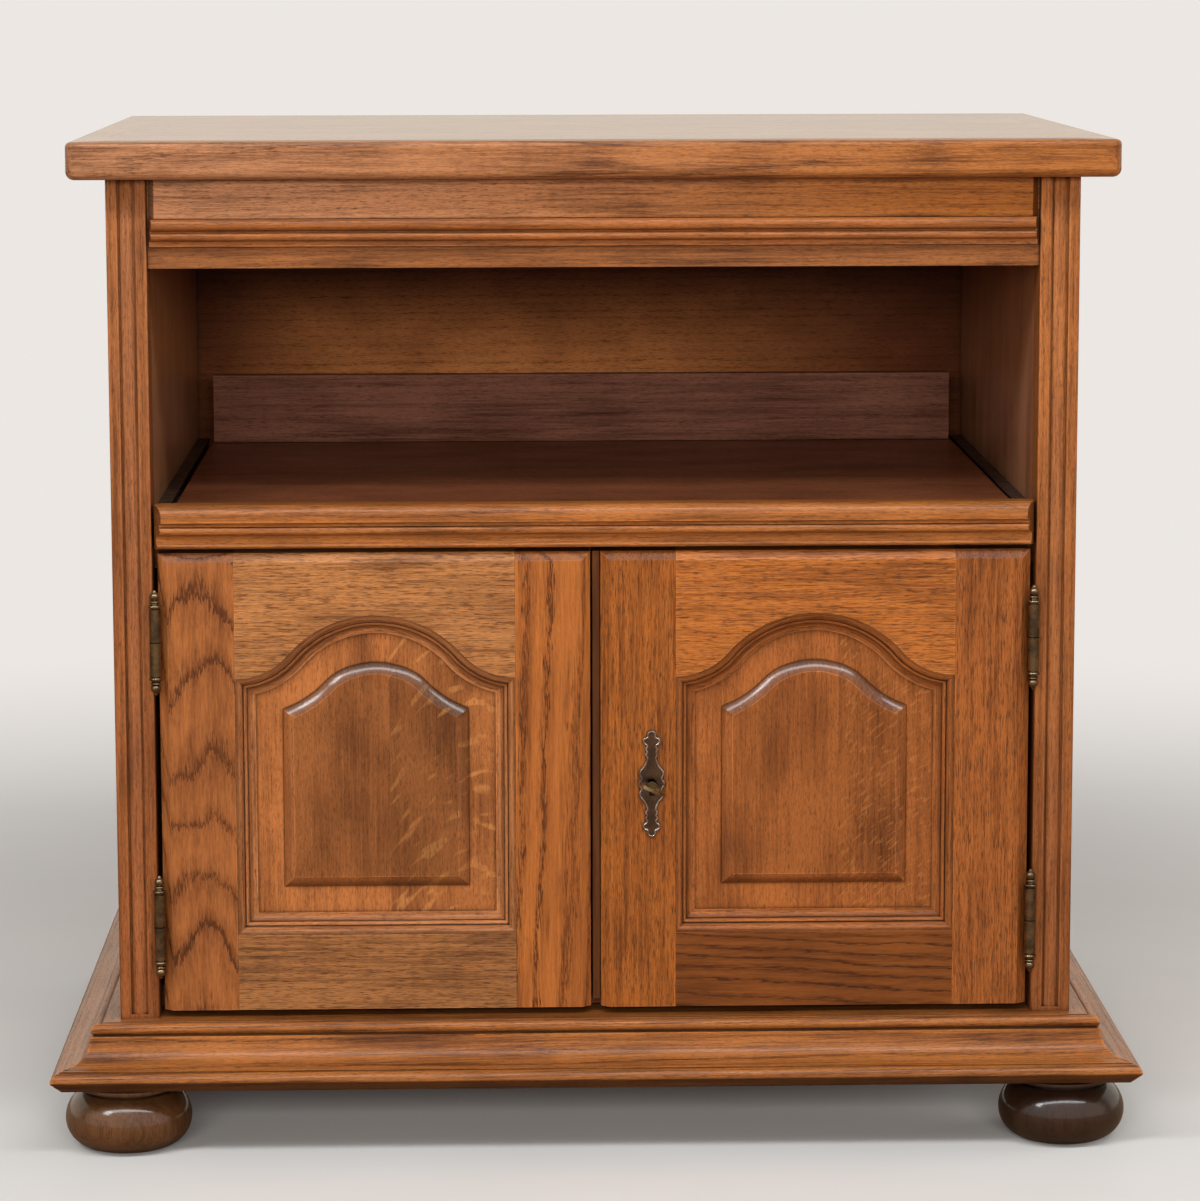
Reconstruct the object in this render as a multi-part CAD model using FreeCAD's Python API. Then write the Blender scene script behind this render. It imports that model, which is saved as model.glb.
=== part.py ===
import FreeCAD, Part
import math
import os

V = FreeCAD.Vector

# Television cabinet in oak, millimetres: X to the right, Y to the back, Z up, floor at Z = 0.
# Every node is one STEP file. The middle of the width and of the whole depth is at X = 0, Y = 0.

# Top board
top_width = 810.0
top_depth = 570.0
top_thickness = 29.0
top_overhang = 28.0
top_back_overhang = 4.0
top_edge_radius = 4.0
top_lower_radius = 6.5
top_corner_radius = 8.0
lipping_width = 32.0

# Heights of the main layers
foot_height = 55.0
base_height = 48.0
body_height = 663.0
frieze_height = 70.0
bay_height = 184.0

# Carcass boards
post_width = 31.0
post_depth = 34.0
post_arris = 1.5
channel_width = 13.0
channel_depth = 3.0
reed_quirk = 1.0
reed_rise = 2.2
channel_stop = 3.0
side_thickness = 25.0
tongue_width = 8.0
tongue_length = 9.0
dado_depth = 6.0
board_thickness = 18.0
back_thickness = 7.0
back_rebate = 10.0
groove_end_clearance = 0.5

# Frieze
frieze_setback = 6.0
frieze_thickness = 20.0
frieze_tenon_length = 12.0
frieze_tenon_thickness = 8.0
frieze_tenon_shoulder = 10.0
fascia_height = 31.5
fascia_thickness = 5.0
fascia_bevel = 4.7
frieze_moulding_height = 21.5
frieze_moulding_depth = 12.0
frieze_end_gap = 1.5
frieze_moulding_end = 2.8
moulding_end_depth = 9.0

# Base moulding and feet
base_projection = 51.5
base_inner = 45.0
base_ledge = 13.0
base_quirk = 1.2
base_flat = 2.0
base_ovolo = 6.0
base_ovolo_drop = 5.5
base_fillet_step = 2.0
base_fillet_top = 8.5
base_fillet_bottom = 12.0
base_cove_width = 17.0
base_cove_height = 20.0
base_nose_step = 1.6
base_chamfer_back = 8.5
base_chamfer_height = 8.0
base_rail_thickness = 20.0
foot_radius = 50.0
foot_inset = 6.5
foot_bottom_radius = 28.0
foot_widest_height = 23.0
foot_neck_radius = 34.0
foot_neck_height = 2.5
foot_ring_height = 6.0
foot_ring_bulge = 2.5
foot_ring_radius = 37.0
spigot_radius = 11.0
spigot_length = 33.0
fit = 0.05

# Doors
door_thickness = 24.0
door_recess = 1.0
door_top_gap = 4.2
door_bottom_gap = 5.5
hinge_gap = 4.0
meeting_gap = 8.0
door_bevel_width = 7.0
door_bevel_depth = 5.0
door_stile = 59.0
door_bottom_rail = 60.5
door_top_rail = 49.5
arch_rise = 50.0
arch_foot_share = 0.38
tenon_length = 30.0
tenon_clearance = 1.0
tenon_inset = 10.0
panel_groove_depth = 9.0
panel_groove_front = 12.8
panel_edge_thickness = 6.0
panel_edge_clearance = 1.5
panel_margin = 21.6
field_quirk = 1.2
field_bevel_width = 7.6
field_bevel_depth = 5.0
field_arris = 0.6
moulding_width = 15.6
moulding_curve_gap = 0.3

# Hinges with finials
hinge_from_end = 69.0
barrel_radius = 4.4
barrel_clear = 0.5
knuckle_length = 25.5
knuckle_ring = 1.5
finial_length = 15.5
pin_radius = 2.2
leaf_thickness = 1.5
leaf_depth = 24.0
hinge_screw_radius = 1.6
hinge_screw_head = 3.0
hinge_screw_length = 14.0
hinge_screw_spread = 17.0

# Lock, key, escutcheon and meeting strip
lock_height = 180.3
lock_backset = 40.0
lock_case_depth = 48.0
lock_case_height = 56.0
lock_case_thickness = 12.0
lock_case_front = 7.0
lock_wall = 1.5
bolt_length = 30.0
bolt_height = 12.0
bolt_thickness = 7.0
bolt_above_key = 7.0
bolt_throw = 14.0
bolt_clear = 0.3
strike_end_clear = 2.0
strike_clear = 0.6
keyhole_radius = 4.2
keyhole_slot_width = 4.4
keyhole_slot_drop = 9.5
key_shaft_radius = 2.6
key_bit_radius = 6.0
key_bit_thickness = 2.0
key_collar_radius = 4.0
key_stem = 12.0
key_bow_width = 21.0
key_bow_length = 18.0
key_bow_rim = 4.0
key_bow_thickness = 2.6
key_bow_slant = 24.0
escutcheon_height = 85.5
escutcheon_thickness = 1.8
escutcheon_pin_radius = 0.9
escutcheon_pin_head = 1.7
escutcheon_pin_length = 9.0
strip_width = 14.5
strip_thickness = 7.0
strip_reach = 4.5
strip_bottom_gap = 6.0

# Magnetic catch of the left door
catch_length = 40.0
catch_height = 13.0
catch_depth = 28.0
catch_from_edge = 18.0
catch_plate_length = 30.0
catch_plate_height = 11.0
catch_plate_thickness = 1.5
catch_air = 0.5

# Pull-out shelf and its roller runners
shelf_moulding_height = 34.0
shelf_moulding_depth = 22.0
shelf_moulding_end = 6.0
shelf_moulding_proud = 6.0
shelf_moulding_gap = 2.0
shelf_lip = 3.0
shelf_thickness = 18.0
shelf_side_gap = 17.0
shelf_back_gap = 12.0
shelf_deck_gap = 2.0
upstand_height = 60.0
upstand_thickness = 16.0
upstand_inset = 2.0
upstand_from_back = 62.0
runner_steel = 1.2
runner_height = 26.0
runner_drop = 1.0
roller_radius = 9.0
roller_width = 8.0
roller_bore = 2.55
axle_radius = 2.5
axle_head_radius = 4.0
axle_head = 0.9
roller_side_gap = 1.8
runner_flange = 11.0
front_roller_from_post = 14.0
rear_roller_from_end = 12.0

# Places worked out from the sizes
half_top = top_width / 2
half_body = half_top - top_overhang
half_opening = half_body - post_width
overall_depth = top_depth + base_projection - top_overhang
base_front = -overall_depth / 2
body_front = base_front + base_projection
top_front = body_front - top_overhang
top_back = top_front + top_depth
body_back = top_back - top_back_overhang
base_top = foot_height + base_height
body_top = base_top + body_height
post_back = body_front + post_depth
back_face = body_back - back_thickness
frieze_bottom = body_top - frieze_height
shelf_moulding_top = frieze_bottom - bay_height
shelf_moulding_bottom = shelf_moulding_top - shelf_moulding_height
shelf_top = shelf_moulding_top - shelf_lip
shelf_bottom = shelf_top - shelf_thickness
deck_top = shelf_moulding_bottom - shelf_deck_gap
door_top = shelf_moulding_bottom - door_top_gap
door_bottom = base_top + door_bottom_gap
door_height = door_top - door_bottom
door_width = half_opening - hinge_gap - meeting_gap / 2
door_front = body_front + door_recess
door_back = door_front + door_thickness
hinge_x = half_opening - hinge_gap / 2
hinge_y = body_front - barrel_radius - barrel_clear
door_edge_x = half_opening - hinge_gap
meeting_x = meeting_gap / 2
lock_x = meeting_x + lock_backset
lock_z = door_bottom + lock_height


def box(x0, x1, y0, y1, z0, z1):
    return Part.makeBox(x1 - x0, y1 - y0, z1 - z0, V(x0, y0, z0))


def flip(shape):
    return shape.mirror(V(0, 0, 0), V(1, 0, 0))


def cylinder(centre, direction, radius, length):
    return Part.makeCylinder(radius, length, centre, direction)


def outline(place, start, *steps):
    """Closed face: a step (u, v) is a straight side, a step (um, vm, u, v) an arc through (um, vm)."""
    edges = []
    here = start
    for step in steps:
        end = step[-2:]
        if len(step) == 2:
            edges.append(Part.makeLine(place(*here), place(*end)))
        else:
            edges.append(Part.Arc(place(*here), place(*step[:2]), place(*end)).toShape())
        here = end
    edges.append(Part.makeLine(place(*here), place(*start)))
    return Part.Face(Part.Wire(edges))


def flat(z):
    return lambda x, y: V(x, y, z)


def prism(points, z0, z1):
    return outline(flat(z0), *points).extrude(V(0, 0, z1 - z0))


def turned(centre, start, *steps):
    """Solid of revolution about an upright line, from a half outline of radius and height."""
    face = outline(lambda r, z: V(centre.x + r, centre.y, centre.z + z), start, *steps)
    return face.revolve(centre, V(0, 0, 1), 360)


nodes = {}

# Top board: one rounded block, shared out between the panel and three mitred edges
block = box(-half_top, half_top, top_front, top_back, body_top, body_top + top_thickness)


def edges_at(shape, height):
    """Edges whose middle lies at a height, without the one along the back."""
    return [e for e in shape.Edges if abs(e.CenterOfMass.z - height) < 0.01
            and abs(e.CenterOfMass.y - top_back) > 0.01]


block = block.makeFillet(top_corner_radius, edges_at(block, body_top + top_thickness / 2))
block = block.makeFillet(top_edge_radius, edges_at(block, body_top + top_thickness))
block = block.makeFillet(top_lower_radius, edges_at(block, body_top))
panel_half = half_top - lipping_width
panel_front = top_front + lipping_width
slab = (body_top, body_top + top_thickness)
front_mitre = prism([(-half_top, top_front), (half_top, top_front), (panel_half, panel_front),
                     (-panel_half, panel_front)], *slab)
right_mitre = prism([(half_top, top_front), (half_top, top_back), (panel_half, top_back),
                     (panel_half, panel_front)], *slab)
nodes["top_panel"] = box(-panel_half, panel_half, panel_front, top_back, *slab)
nodes["top_front_lipping"] = block.common(front_mitre)
nodes["top_right_lipping"] = block.common(right_mitre)
nodes["top_left_lipping"] = flip(nodes["top_right_lipping"])


# Hinges: two per door, a lower half on the post and an upper half on the door
def hinge_centres():
    return [door_bottom + hinge_from_end, door_top - hinge_from_end]


def finial(z, up):
    """Acorn finial with two collars on the hinge axis, growing up or down from z."""
    s = 1 if up else -1
    r = barrel_radius
    n = finial_length
    foot = V(hinge_x, hinge_y, z)
    collar = turned(foot, (0, 0), (r * 0.72, 0), (r * 0.72, s * n * 0.08), (r * 1.02, s * n * 0.08),
                    (r * 1.14, s * n * 0.15, r * 1.02, s * n * 0.22), (r * 0.6, s * n * 0.24),
                    (r * 0.55, s * n * 0.33), (r * 0.8, s * n * 0.34),
                    (r * 0.9, s * n * 0.39, r * 0.8, s * n * 0.44), (r * 0.55, s * n * 0.46),
                    (r * 0.86, s * n * 0.64, r * 0.4, s * n * 0.86),
                    (r * 0.3, s * n * 0.95, r * 0.1, s * n), (0, s * n))
    return collar


def leaf_holes(x_face, into_wood):
    """Countersunk cones through a leaf whose open face is at x_face."""
    holes = []
    for centre in hinge_centres():
        for offset in (-hinge_screw_spread, hinge_screw_spread):
            at = V(x_face, body_front + leaf_depth * 0.62, centre + offset)
            holes.append(Part.makeCone(hinge_screw_head + fit, hinge_screw_radius + fit, leaf_thickness, at,
                                       V(into_wood, 0, 0)))
    return holes


def hinge_screws(x_face, into_wood):
    screws = []
    for centre in hinge_centres():
        for offset in (-hinge_screw_spread, hinge_screw_spread):
            at = V(x_face, body_front + leaf_depth * 0.62, centre + offset)
            inward = V(into_wood, 0, 0)
            head = Part.makeCone(hinge_screw_head, hinge_screw_radius, leaf_thickness, at, inward)
            shank = cylinder(at, inward, hinge_screw_radius, leaf_thickness + hinge_screw_length)
            screws.append(head.fuse(shank).removeSplitter())
    return screws


def screw_bores(x_face, into_wood):
    bores = []
    for centre in hinge_centres():
        for offset in (-hinge_screw_spread, hinge_screw_spread):
            at = V(x_face, body_front + leaf_depth * 0.62, centre + offset)
            bores.append(cylinder(at, V(into_wood, 0, 0), hinge_screw_radius + fit,
                                  leaf_thickness + hinge_screw_length + tenon_clearance))
    return bores


def hinge_half(x_inner, x_outer, lower):
    """Leaf, knuckle and finial of one hinge half; the lower half also holds the pin."""
    halves = []
    for centre in hinge_centres():
        middle = knuckle_ring / 2
        reach = middle + knuckle_length
        plate = box(x_inner, x_outer, door_front, body_front + leaf_depth, centre - reach, centre + reach)
        if lower:
            knuckle_z = centre - reach
            root_z = (centre - reach, centre - middle)
        else:
            knuckle_z = centre + middle
            root_z = (centre + middle, centre + reach)
        root = box(x_inner, x_outer, hinge_y, door_front, *root_z)
        knuckle = cylinder(V(hinge_x, hinge_y, knuckle_z), V(0, 0, 1), barrel_radius, knuckle_length)
        half = plate.fuse([root, knuckle])
        foot = V(hinge_x, hinge_y, centre - middle)
        up = V(0, 0, 1)
        if lower:
            ring = cylinder(foot, up, barrel_radius * 1.1, middle)
            pin = cylinder(foot, up, pin_radius, middle + knuckle_length * 0.9)
            half = half.fuse([finial(centre - reach, False), ring, pin])
        else:
            half = half.fuse(finial(centre + reach, True))
            half = half.cut(cylinder(foot, up, pin_radius + fit, knuckle_ring + knuckle_length * 0.95))
        halves.append(half.removeSplitter())
    return halves


post_leaf_face = half_opening - leaf_thickness
door_leaf_face = door_edge_x + leaf_thickness
post_leaves = []
for half in hinge_half(post_leaf_face, half_opening, True):
    post_leaves.append(half.cut(leaf_holes(post_leaf_face, 1)))
door_leaves = []
for half in hinge_half(door_edge_x, door_leaf_face, False):
    door_leaves.append(half.cut(leaf_holes(door_leaf_face, -1)))
post_screws = hinge_screws(post_leaf_face, 1)
door_screws = hinge_screws(door_leaf_face, -1)
nodes["right_post_hinge_leaves"] = Part.makeCompound(post_leaves)
nodes["left_post_hinge_leaves"] = flip(nodes["right_post_hinge_leaves"])
nodes["post_hinge_screws"] = Part.makeCompound(post_screws + [flip(screw) for screw in post_screws])
nodes["right_door_hinge_leaves"] = Part.makeCompound(door_leaves)
nodes["left_door_hinge_leaves"] = flip(nodes["right_door_hinge_leaves"])
nodes["right_door_hinge_screws"] = Part.makeCompound(door_screws)
nodes["left_door_hinge_screws"] = flip(nodes["right_door_hinge_screws"])

# Front posts: rounded arrises, a sunk channel and a reed in it that stop above the base
post_mid = (half_body + half_opening) / 2
a = post_arris
corner = a * (1 - math.sqrt(0.5))
ch = channel_width / 2
reed = ch - reed_quirk
sunk = body_front + channel_depth
fluted = outline(
    flat(base_top + channel_stop), (half_opening, body_front + a),
    (half_opening + corner, body_front + corner, half_opening + a, body_front),
    (post_mid - ch - a, body_front),
    (post_mid - ch - corner, body_front + corner, post_mid - ch, body_front + a),
    (post_mid - ch, sunk), (post_mid - reed, sunk),
    (post_mid, sunk - reed_rise, post_mid + reed, sunk), (post_mid + ch, sunk),
    (post_mid + ch, body_front + a),
    (post_mid + ch + corner, body_front + corner, post_mid + ch + a, body_front),
    (half_body - a, body_front), (half_body - corner, body_front + corner, half_body, body_front + a),
    (half_body, post_back), (half_opening, post_back)).extrude(V(0, 0, body_height - channel_stop))
stop = outline(
    flat(base_top), (half_opening, body_front + a),
    (half_opening + corner, body_front + corner, half_opening + a, body_front),
    (half_body - a, body_front), (half_body - corner, body_front + corner, half_body, body_front + a),
    (half_body, post_back), (half_opening, post_back)).extrude(V(0, 0, channel_stop))
post = fluted.fuse(stop).removeSplitter()

side_outer = half_opening + side_thickness
tongue_x = half_opening + (side_thickness - tongue_width) / 2
tongue = box(tongue_x, tongue_x + tongue_width, post_back - tongue_length, post_back, base_top, body_top)
tongue_groove = box(tongue_x, tongue_x + tongue_width, post_back - tongue_length - groove_end_clearance,
                    post_back, base_top, body_top)
frieze_front = body_front + frieze_setback
frieze_back = frieze_front + frieze_thickness
tenon_y = frieze_front + (frieze_thickness - frieze_tenon_thickness) / 2
frieze_tenon_z = (frieze_bottom + frieze_tenon_shoulder, body_top - frieze_tenon_shoulder)
frieze_mortise = box(half_opening, half_opening + frieze_tenon_length + tenon_clearance, tenon_y,
                     tenon_y + frieze_tenon_thickness, *frieze_tenon_z)
post = post.cut([tongue_groove, frieze_mortise] + screw_bores(post_leaf_face, 1))
nodes["right_post"] = post
nodes["left_post"] = flip(post)

# Side, bottom, deck and back boards
bottom_z = (base_top, base_top + board_thickness)
deck_z = (deck_top - board_thickness, deck_top)
side = box(half_opening, side_outer, post_back, body_back, base_top, body_top).fuse(tongue).removeSplitter()
side_cuts = [box(half_opening, half_opening + back_rebate, back_face, body_back, base_top, body_top)]
for board_z in (bottom_z, deck_z):
    side_cuts.append(box(half_opening, half_opening + dado_depth, post_back, back_face, *board_z))
nodes["right_side_panel"] = side.cut(side_cuts)
nodes["left_side_panel"] = flip(nodes["right_side_panel"])
dado_half = half_opening + dado_depth
nodes["bottom_panel"] = box(-dado_half, dado_half, post_back, back_face, *bottom_z)
nodes["fixed_deck"] = box(-dado_half, dado_half, post_back, back_face, *deck_z)
rebate_half = half_opening + back_rebate
nodes["back_panel"] = box(-rebate_half, rebate_half, back_face, body_back, base_top, body_top)

# Frieze: board tenoned into the posts, fascia and moulding with bevelled ends
frieze_tenon = box(half_opening, half_opening + frieze_tenon_length, tenon_y,
                   tenon_y + frieze_tenon_thickness, *frieze_tenon_z)
frieze_box = box(-half_opening, half_opening, frieze_front, frieze_back, frieze_bottom, body_top)
nodes["frieze_board"] = frieze_box.fuse([frieze_tenon, flip(frieze_tenon)]).removeSplitter()
fascia_half = half_opening - frieze_end_gap
fascia_bottom = body_top - fascia_height
nodes["frieze_fascia"] = prism(
    [(-fascia_half, frieze_front), (-fascia_half + fascia_bevel, frieze_front - fascia_thickness),
     (fascia_half - fascia_bevel, frieze_front - fascia_thickness), (fascia_half, frieze_front)],
    fascia_bottom, body_top)


def bevelled(back_y, half_length, depth, end_width, top_z, start, *steps):
    """Moulding with a profile of projection and drop along the front, its ends bevelled towards the front."""
    foot = steps[-1][-1]
    run = outline(lambda p, t: V(-half_length, back_y - p, top_z - t), (0, 0), start, *steps, (0, foot))
    run = run.extrude(V(2 * half_length, 0, 0))
    bevel_y = back_y - depth + moulding_end_depth
    front_half = half_length - end_width
    plan = prism([(-half_length, back_y), (-half_length, bevel_y), (-front_half, back_y - depth),
                  (front_half, back_y - depth), (half_length, bevel_y), (half_length, back_y)],
                 top_z - foot, top_z)
    return run.common(plan)


d = frieze_moulding_depth
h = frieze_moulding_height
nodes["frieze_moulding"] = bevelled(
    frieze_front, fascia_half, d, frieze_moulding_end, fascia_bottom,
    (d - 3.4, 0), (d, h * 0.2, d - 3.4, h * 0.4), (d - 5.0, h * 0.42), (d - 5.0, h * 0.5),
    (d - 4.2, h * 0.5), (d - 1.8, h * 0.63, d - 4.2, h * 0.76), (d - 5.6, h * 0.78),
    (d - 7.0, h * 0.8), (d - 7.0, h))

# Base: one profile, mitred at the front corners
p0 = base_ledge
quirk_end = p0 + base_quirk
flat_end = quirk_end + base_flat
p1 = flat_end + base_ovolo
p2 = p1 + base_fillet_step
p3 = p2 + base_nose_step
p4 = p3 + base_cove_width
cove_bottom = base_fillet_bottom + base_cove_height
arc_part = 1 - math.sqrt(0.5)
nose_bottom = base_height - base_chamfer_height
nose_middle = (cove_bottom + 0.8 + nose_bottom) / 2
base_steps = [
    (p0, 0), (p0, base_quirk), (quirk_end, base_quirk), (quirk_end, 0), (flat_end, 0),
    (flat_end + base_ovolo * 0.72, base_ovolo_drop * 0.3, p1, base_ovolo_drop),
    (p1, base_fillet_top - 0.8), (p2, base_fillet_top), (p2, base_fillet_bottom), (p3, base_fillet_bottom),
    (p3 + base_cove_width * arc_part, cove_bottom - base_cove_height * arc_part, p4, cove_bottom),
    (p4 + 1.4, cove_bottom),
    (p4 + 1.4, cove_bottom + 0.8),
    (base_projection - 1.4, nose_middle - 1.8, base_projection, nose_bottom - 1.2),
    (base_projection - 0.6, nose_bottom), (base_projection - base_chamfer_back, base_height),
    (-base_inner, base_height)]
front_face = outline(lambda p, t: V(-half_body - base_projection, body_front - p, base_top - t),
                     (-base_inner, 0), *base_steps)
side_face = outline(lambda p, t: V(half_body + p, base_front, base_top - t), (-base_inner, 0), *base_steps)
base_z = (foot_height, base_top)
base_outer = half_body + base_projection
base_core = half_body - base_inner
inner_front = body_front + base_inner
front_trim = prism([(-base_outer, base_front), (base_outer, base_front), (base_core, inner_front),
                    (-base_core, inner_front)], *base_z)
side_trim = prism([(base_outer, base_front), (base_outer, body_back), (base_core, body_back),
                   (base_core, inner_front)], *base_z)
foot_x = half_body + base_projection - foot_inset - foot_radius
foot_front_y = base_front + foot_inset + foot_radius
foot_back_y = body_back - foot_radius
spigot_holes = []
for x in (-foot_x, foot_x):
    for y in (foot_front_y, foot_back_y):
        spigot_holes.append(cylinder(V(x, y, foot_height), V(0, 0, 1), spigot_radius + fit,
                                     spigot_length + tenon_clearance))
base_front_run = front_face.extrude(V(2 * base_outer, 0, 0)).common(front_trim)
base_side_run = side_face.extrude(V(0, body_back - base_front, 0)).common(side_trim)
nodes["base_front_moulding"] = base_front_run.cut(spigot_holes)
nodes["base_right_moulding"] = base_side_run.cut(spigot_holes)
nodes["base_left_moulding"] = flip(nodes["base_right_moulding"])
nodes["base_back_rail"] = box(-base_core, base_core, body_back - base_rail_thickness, body_back, *base_z)


def bulge(radius, height, end_radius, end_height):
    """Middle of the arc that is upright at the widest point and passes through the other end."""
    inward = radius - end_radius
    rise = end_height - height
    arc = (inward ** 2 + rise ** 2) / (2 * inward)
    half_turn = math.atan2(rise, end_radius - radius + arc) / 2
    return (radius - arc + arc * math.cos(half_turn), height + arc * math.sin(half_turn))


# Bun feet with a ring, a neck and a spigot
ring_top = foot_height - foot_neck_height
ring_bottom = ring_top - foot_ring_height
bun_top = ring_bottom - 1.0
widest = (foot_radius, foot_widest_height)
for name, x, y in (("front_left_foot", -foot_x, foot_front_y), ("front_right_foot", foot_x, foot_front_y),
                   ("back_left_foot", -foot_x, foot_back_y), ("back_right_foot", foot_x, foot_back_y)):
    nodes[name] = turned(
        V(x, y, 0), (0, 0), (foot_bottom_radius, 0),
        bulge(*widest, foot_bottom_radius, 0) + widest,
        bulge(*widest, foot_ring_radius, bun_top) + (foot_ring_radius, bun_top),
        (foot_ring_radius - 2.0, bun_top), (foot_ring_radius - 2.0, ring_bottom),
        (foot_ring_radius, ring_bottom),
        (foot_ring_radius + foot_ring_bulge, (ring_bottom + ring_top) / 2, foot_ring_radius, ring_top),
        (foot_neck_radius, ring_top), (foot_neck_radius, foot_height), (spigot_radius, foot_height),
        (spigot_radius, foot_height + spigot_length), (0, foot_height + spigot_length))

# Door sizes in a frame of their own: u from the hinge edge, v up from the bottom edge
half_span = door_width / 2 - door_stile
arch_mid = door_width / 2
shoulder = door_height - door_top_rail - arch_rise
arch_crown = shoulder + arch_rise
radius_sum = (half_span ** 2 + arch_rise ** 2) / (2 * arch_rise)
foot_arc = radius_sum * arch_foot_share
crown_arc = radius_sum - foot_arc
foot_c = (door_stile, shoulder + foot_arc)
crown_c = (arch_mid, arch_crown - crown_arc)
turn_angle = math.atan2(crown_c[1] - foot_c[1], crown_c[0] - foot_c[0])


def at_angle(centre, radius, angle):
    return (centre[0] + radius * math.cos(angle), centre[1] + radius * math.sin(angle))


def mirrored(point):
    return (2 * arch_mid - point[0], point[1])


def opening_steps(inward):
    """Corners and arcs of the arched door opening, moved inward (or outward when negative)."""
    left = door_stile + inward
    low = door_bottom_rail + inward
    small = foot_arc + inward
    large = crown_arc - inward
    if inward > 0:
        start_angle = -math.acos(inward / small)
    else:
        start_angle = -math.pi / 2
    spring = at_angle(foot_c, small, start_angle)
    bend = at_angle(foot_c, small, turn_angle)
    mid_small = at_angle(foot_c, small, (start_angle + turn_angle) / 2)
    crown = (arch_mid, crown_c[1] + large)
    steps = [(left, low)]
    if inward < 0:
        steps.append((left, spring[1]))
    steps += [spring, mid_small + bend, crown + mirrored(bend), mirrored(mid_small) + mirrored(spring)]
    if inward < 0:
        steps.append((2 * arch_mid - left, spring[1]))
    steps.append((2 * arch_mid - left, low))
    return steps


def door_place(y):
    """Door frame to cabinet: the right door's hinge edge is on the right."""
    return lambda u, v: V(door_edge_x - u, door_front + y, door_bottom + v)


def door_box(u0, u1, y0, y1, v0, v1):
    return box(door_edge_x - u1, door_edge_x - u0, door_front + y0, door_front + y1,
               door_bottom + v0, door_bottom + v1)


def opening_slab(inward, y0, y1):
    steps = opening_steps(inward)
    return outline(door_place(y0), *steps).extrude(V(0, y1 - y0, 0))


def bevel_cutters():
    """Three wedges that bevel a door's front edges at the sides and the top; its bottom edge stays square."""
    w = door_bevel_width
    b = door_bevel_depth
    wedge = [(0, 0), (w, 0), (0, b)]
    tall = V(0, 0, door_height)
    across = V(-door_width, 0, 0)
    hinge_side = outline(lambda u, y: V(door_edge_x - u, door_front + y, door_bottom), *wedge)
    free_side = outline(lambda u, y: V(meeting_x + u, door_front + y, door_bottom), *wedge)
    head_side = outline(lambda v, y: V(door_edge_x, door_front + y, door_top - v), *wedge)
    return [hinge_side.extrude(tall), free_side.extrude(tall), head_side.extrude(across)]


bevels = bevel_cutters()
groove_back = panel_groove_front + panel_edge_thickness
tenon_y0 = panel_groove_front
tenon_y1 = groove_back
low_tenon = (tenon_inset, door_bottom_rail - panel_groove_depth - 1.0)
high_tenon = (shoulder + panel_groove_depth + 1.0, door_height - tenon_inset)

stile = door_box(0, door_stile, 0, door_thickness, 0, door_height)
stile_cuts = [door_box(door_stile - panel_groove_depth, door_stile, tenon_y0, tenon_y1,
                       door_bottom_rail - panel_groove_depth, shoulder + panel_groove_depth)]
for v0, v1 in (low_tenon, high_tenon):
    mortise_end = door_stile - tenon_length - tenon_clearance
    stile_cuts.append(door_box(mortise_end, door_stile, tenon_y0, tenon_y1, v0, v1))
hinge_stile = stile.cut(stile_cuts)
centre_x = (door_edge_x + meeting_x) / 2
free_stile = hinge_stile.mirror(V(centre_x, 0, 0), V(1, 0, 0))
hinge_stile = hinge_stile.cut(bevels + screw_bores(door_leaf_face, -1))
free_stile = free_stile.cut(bevels)

far = door_width - door_stile
tenons_low = [door_box(door_stile - tenon_length, door_stile, tenon_y0, tenon_y1, *low_tenon),
              door_box(far, far + tenon_length, tenon_y0, tenon_y1, *low_tenon)]
tenons_high = [door_box(door_stile - tenon_length, door_stile, tenon_y0, tenon_y1, *high_tenon),
               door_box(far, far + tenon_length, tenon_y0, tenon_y1, *high_tenon)]
low_rail = door_box(door_stile, far, 0, door_thickness, 0, door_bottom_rail)
low_rail = low_rail.cut(door_box(door_stile, far, tenon_y0, tenon_y1, door_bottom_rail - panel_groove_depth,
                                 door_bottom_rail))
low_rail = low_rail.fuse(tenons_low).removeSplitter()
high_rail = door_box(door_stile, far, 0, door_thickness, shoulder, door_height)
high_rail = high_rail.cut([opening_slab(0, 0, door_thickness),
                           opening_slab(-panel_groove_depth, tenon_y0, tenon_y1)] + bevels)
high_rail = high_rail.fuse(tenons_high).removeSplitter()

# Raised panel: thin edge in the grooves, field with a quirk, a bevel and an arris
field_edge = moulding_width + panel_margin
field_inner = field_edge + field_bevel_width
quirk_y = panel_groove_front - field_quirk
bevel_y = quirk_y - field_bevel_depth
panel = opening_slab(panel_edge_clearance - panel_groove_depth, panel_groove_front, groove_back)
field_foot = opening_slab(field_edge, quirk_y, panel_groove_front)
outer_wire = outline(door_place(quirk_y), *opening_steps(field_edge)).OuterWire
inner_wire = outline(door_place(bevel_y), *opening_steps(field_inner)).OuterWire
field_bevel = Part.makeLoft([outer_wire, inner_wire], True, True)
field_face = opening_slab(field_inner, bevel_y - field_arris, bevel_y)
panel = panel.fuse([field_foot, field_bevel, field_face]).removeSplitter()


# Panel moulding: ovolo, bead and cove planted round the opening on the panel's margin
def moulding_face(place, first):
    m = moulding_width
    d = panel_groove_front
    ovolo = (0.269 * m, 0.141 * d, 0.365 * m, 0.430 * d)
    bead = (0.526 * m, 0.539 * d, 0.571 * m, 0.672 * d)
    cove = (0.763 * m, 0.906 * d, m, 0.953 * d)
    return outline(place, (first, d), (first, 0.023 * d), (0.032 * m, 0.023 * d), ovolo,
                   (0.365 * m, 0.484 * d), (0.417 * m, 0.484 * d), bead,
                   (0.571 * m, 0.727 * d), (0.615 * m, 0.727 * d), cove, (m, d))


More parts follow.
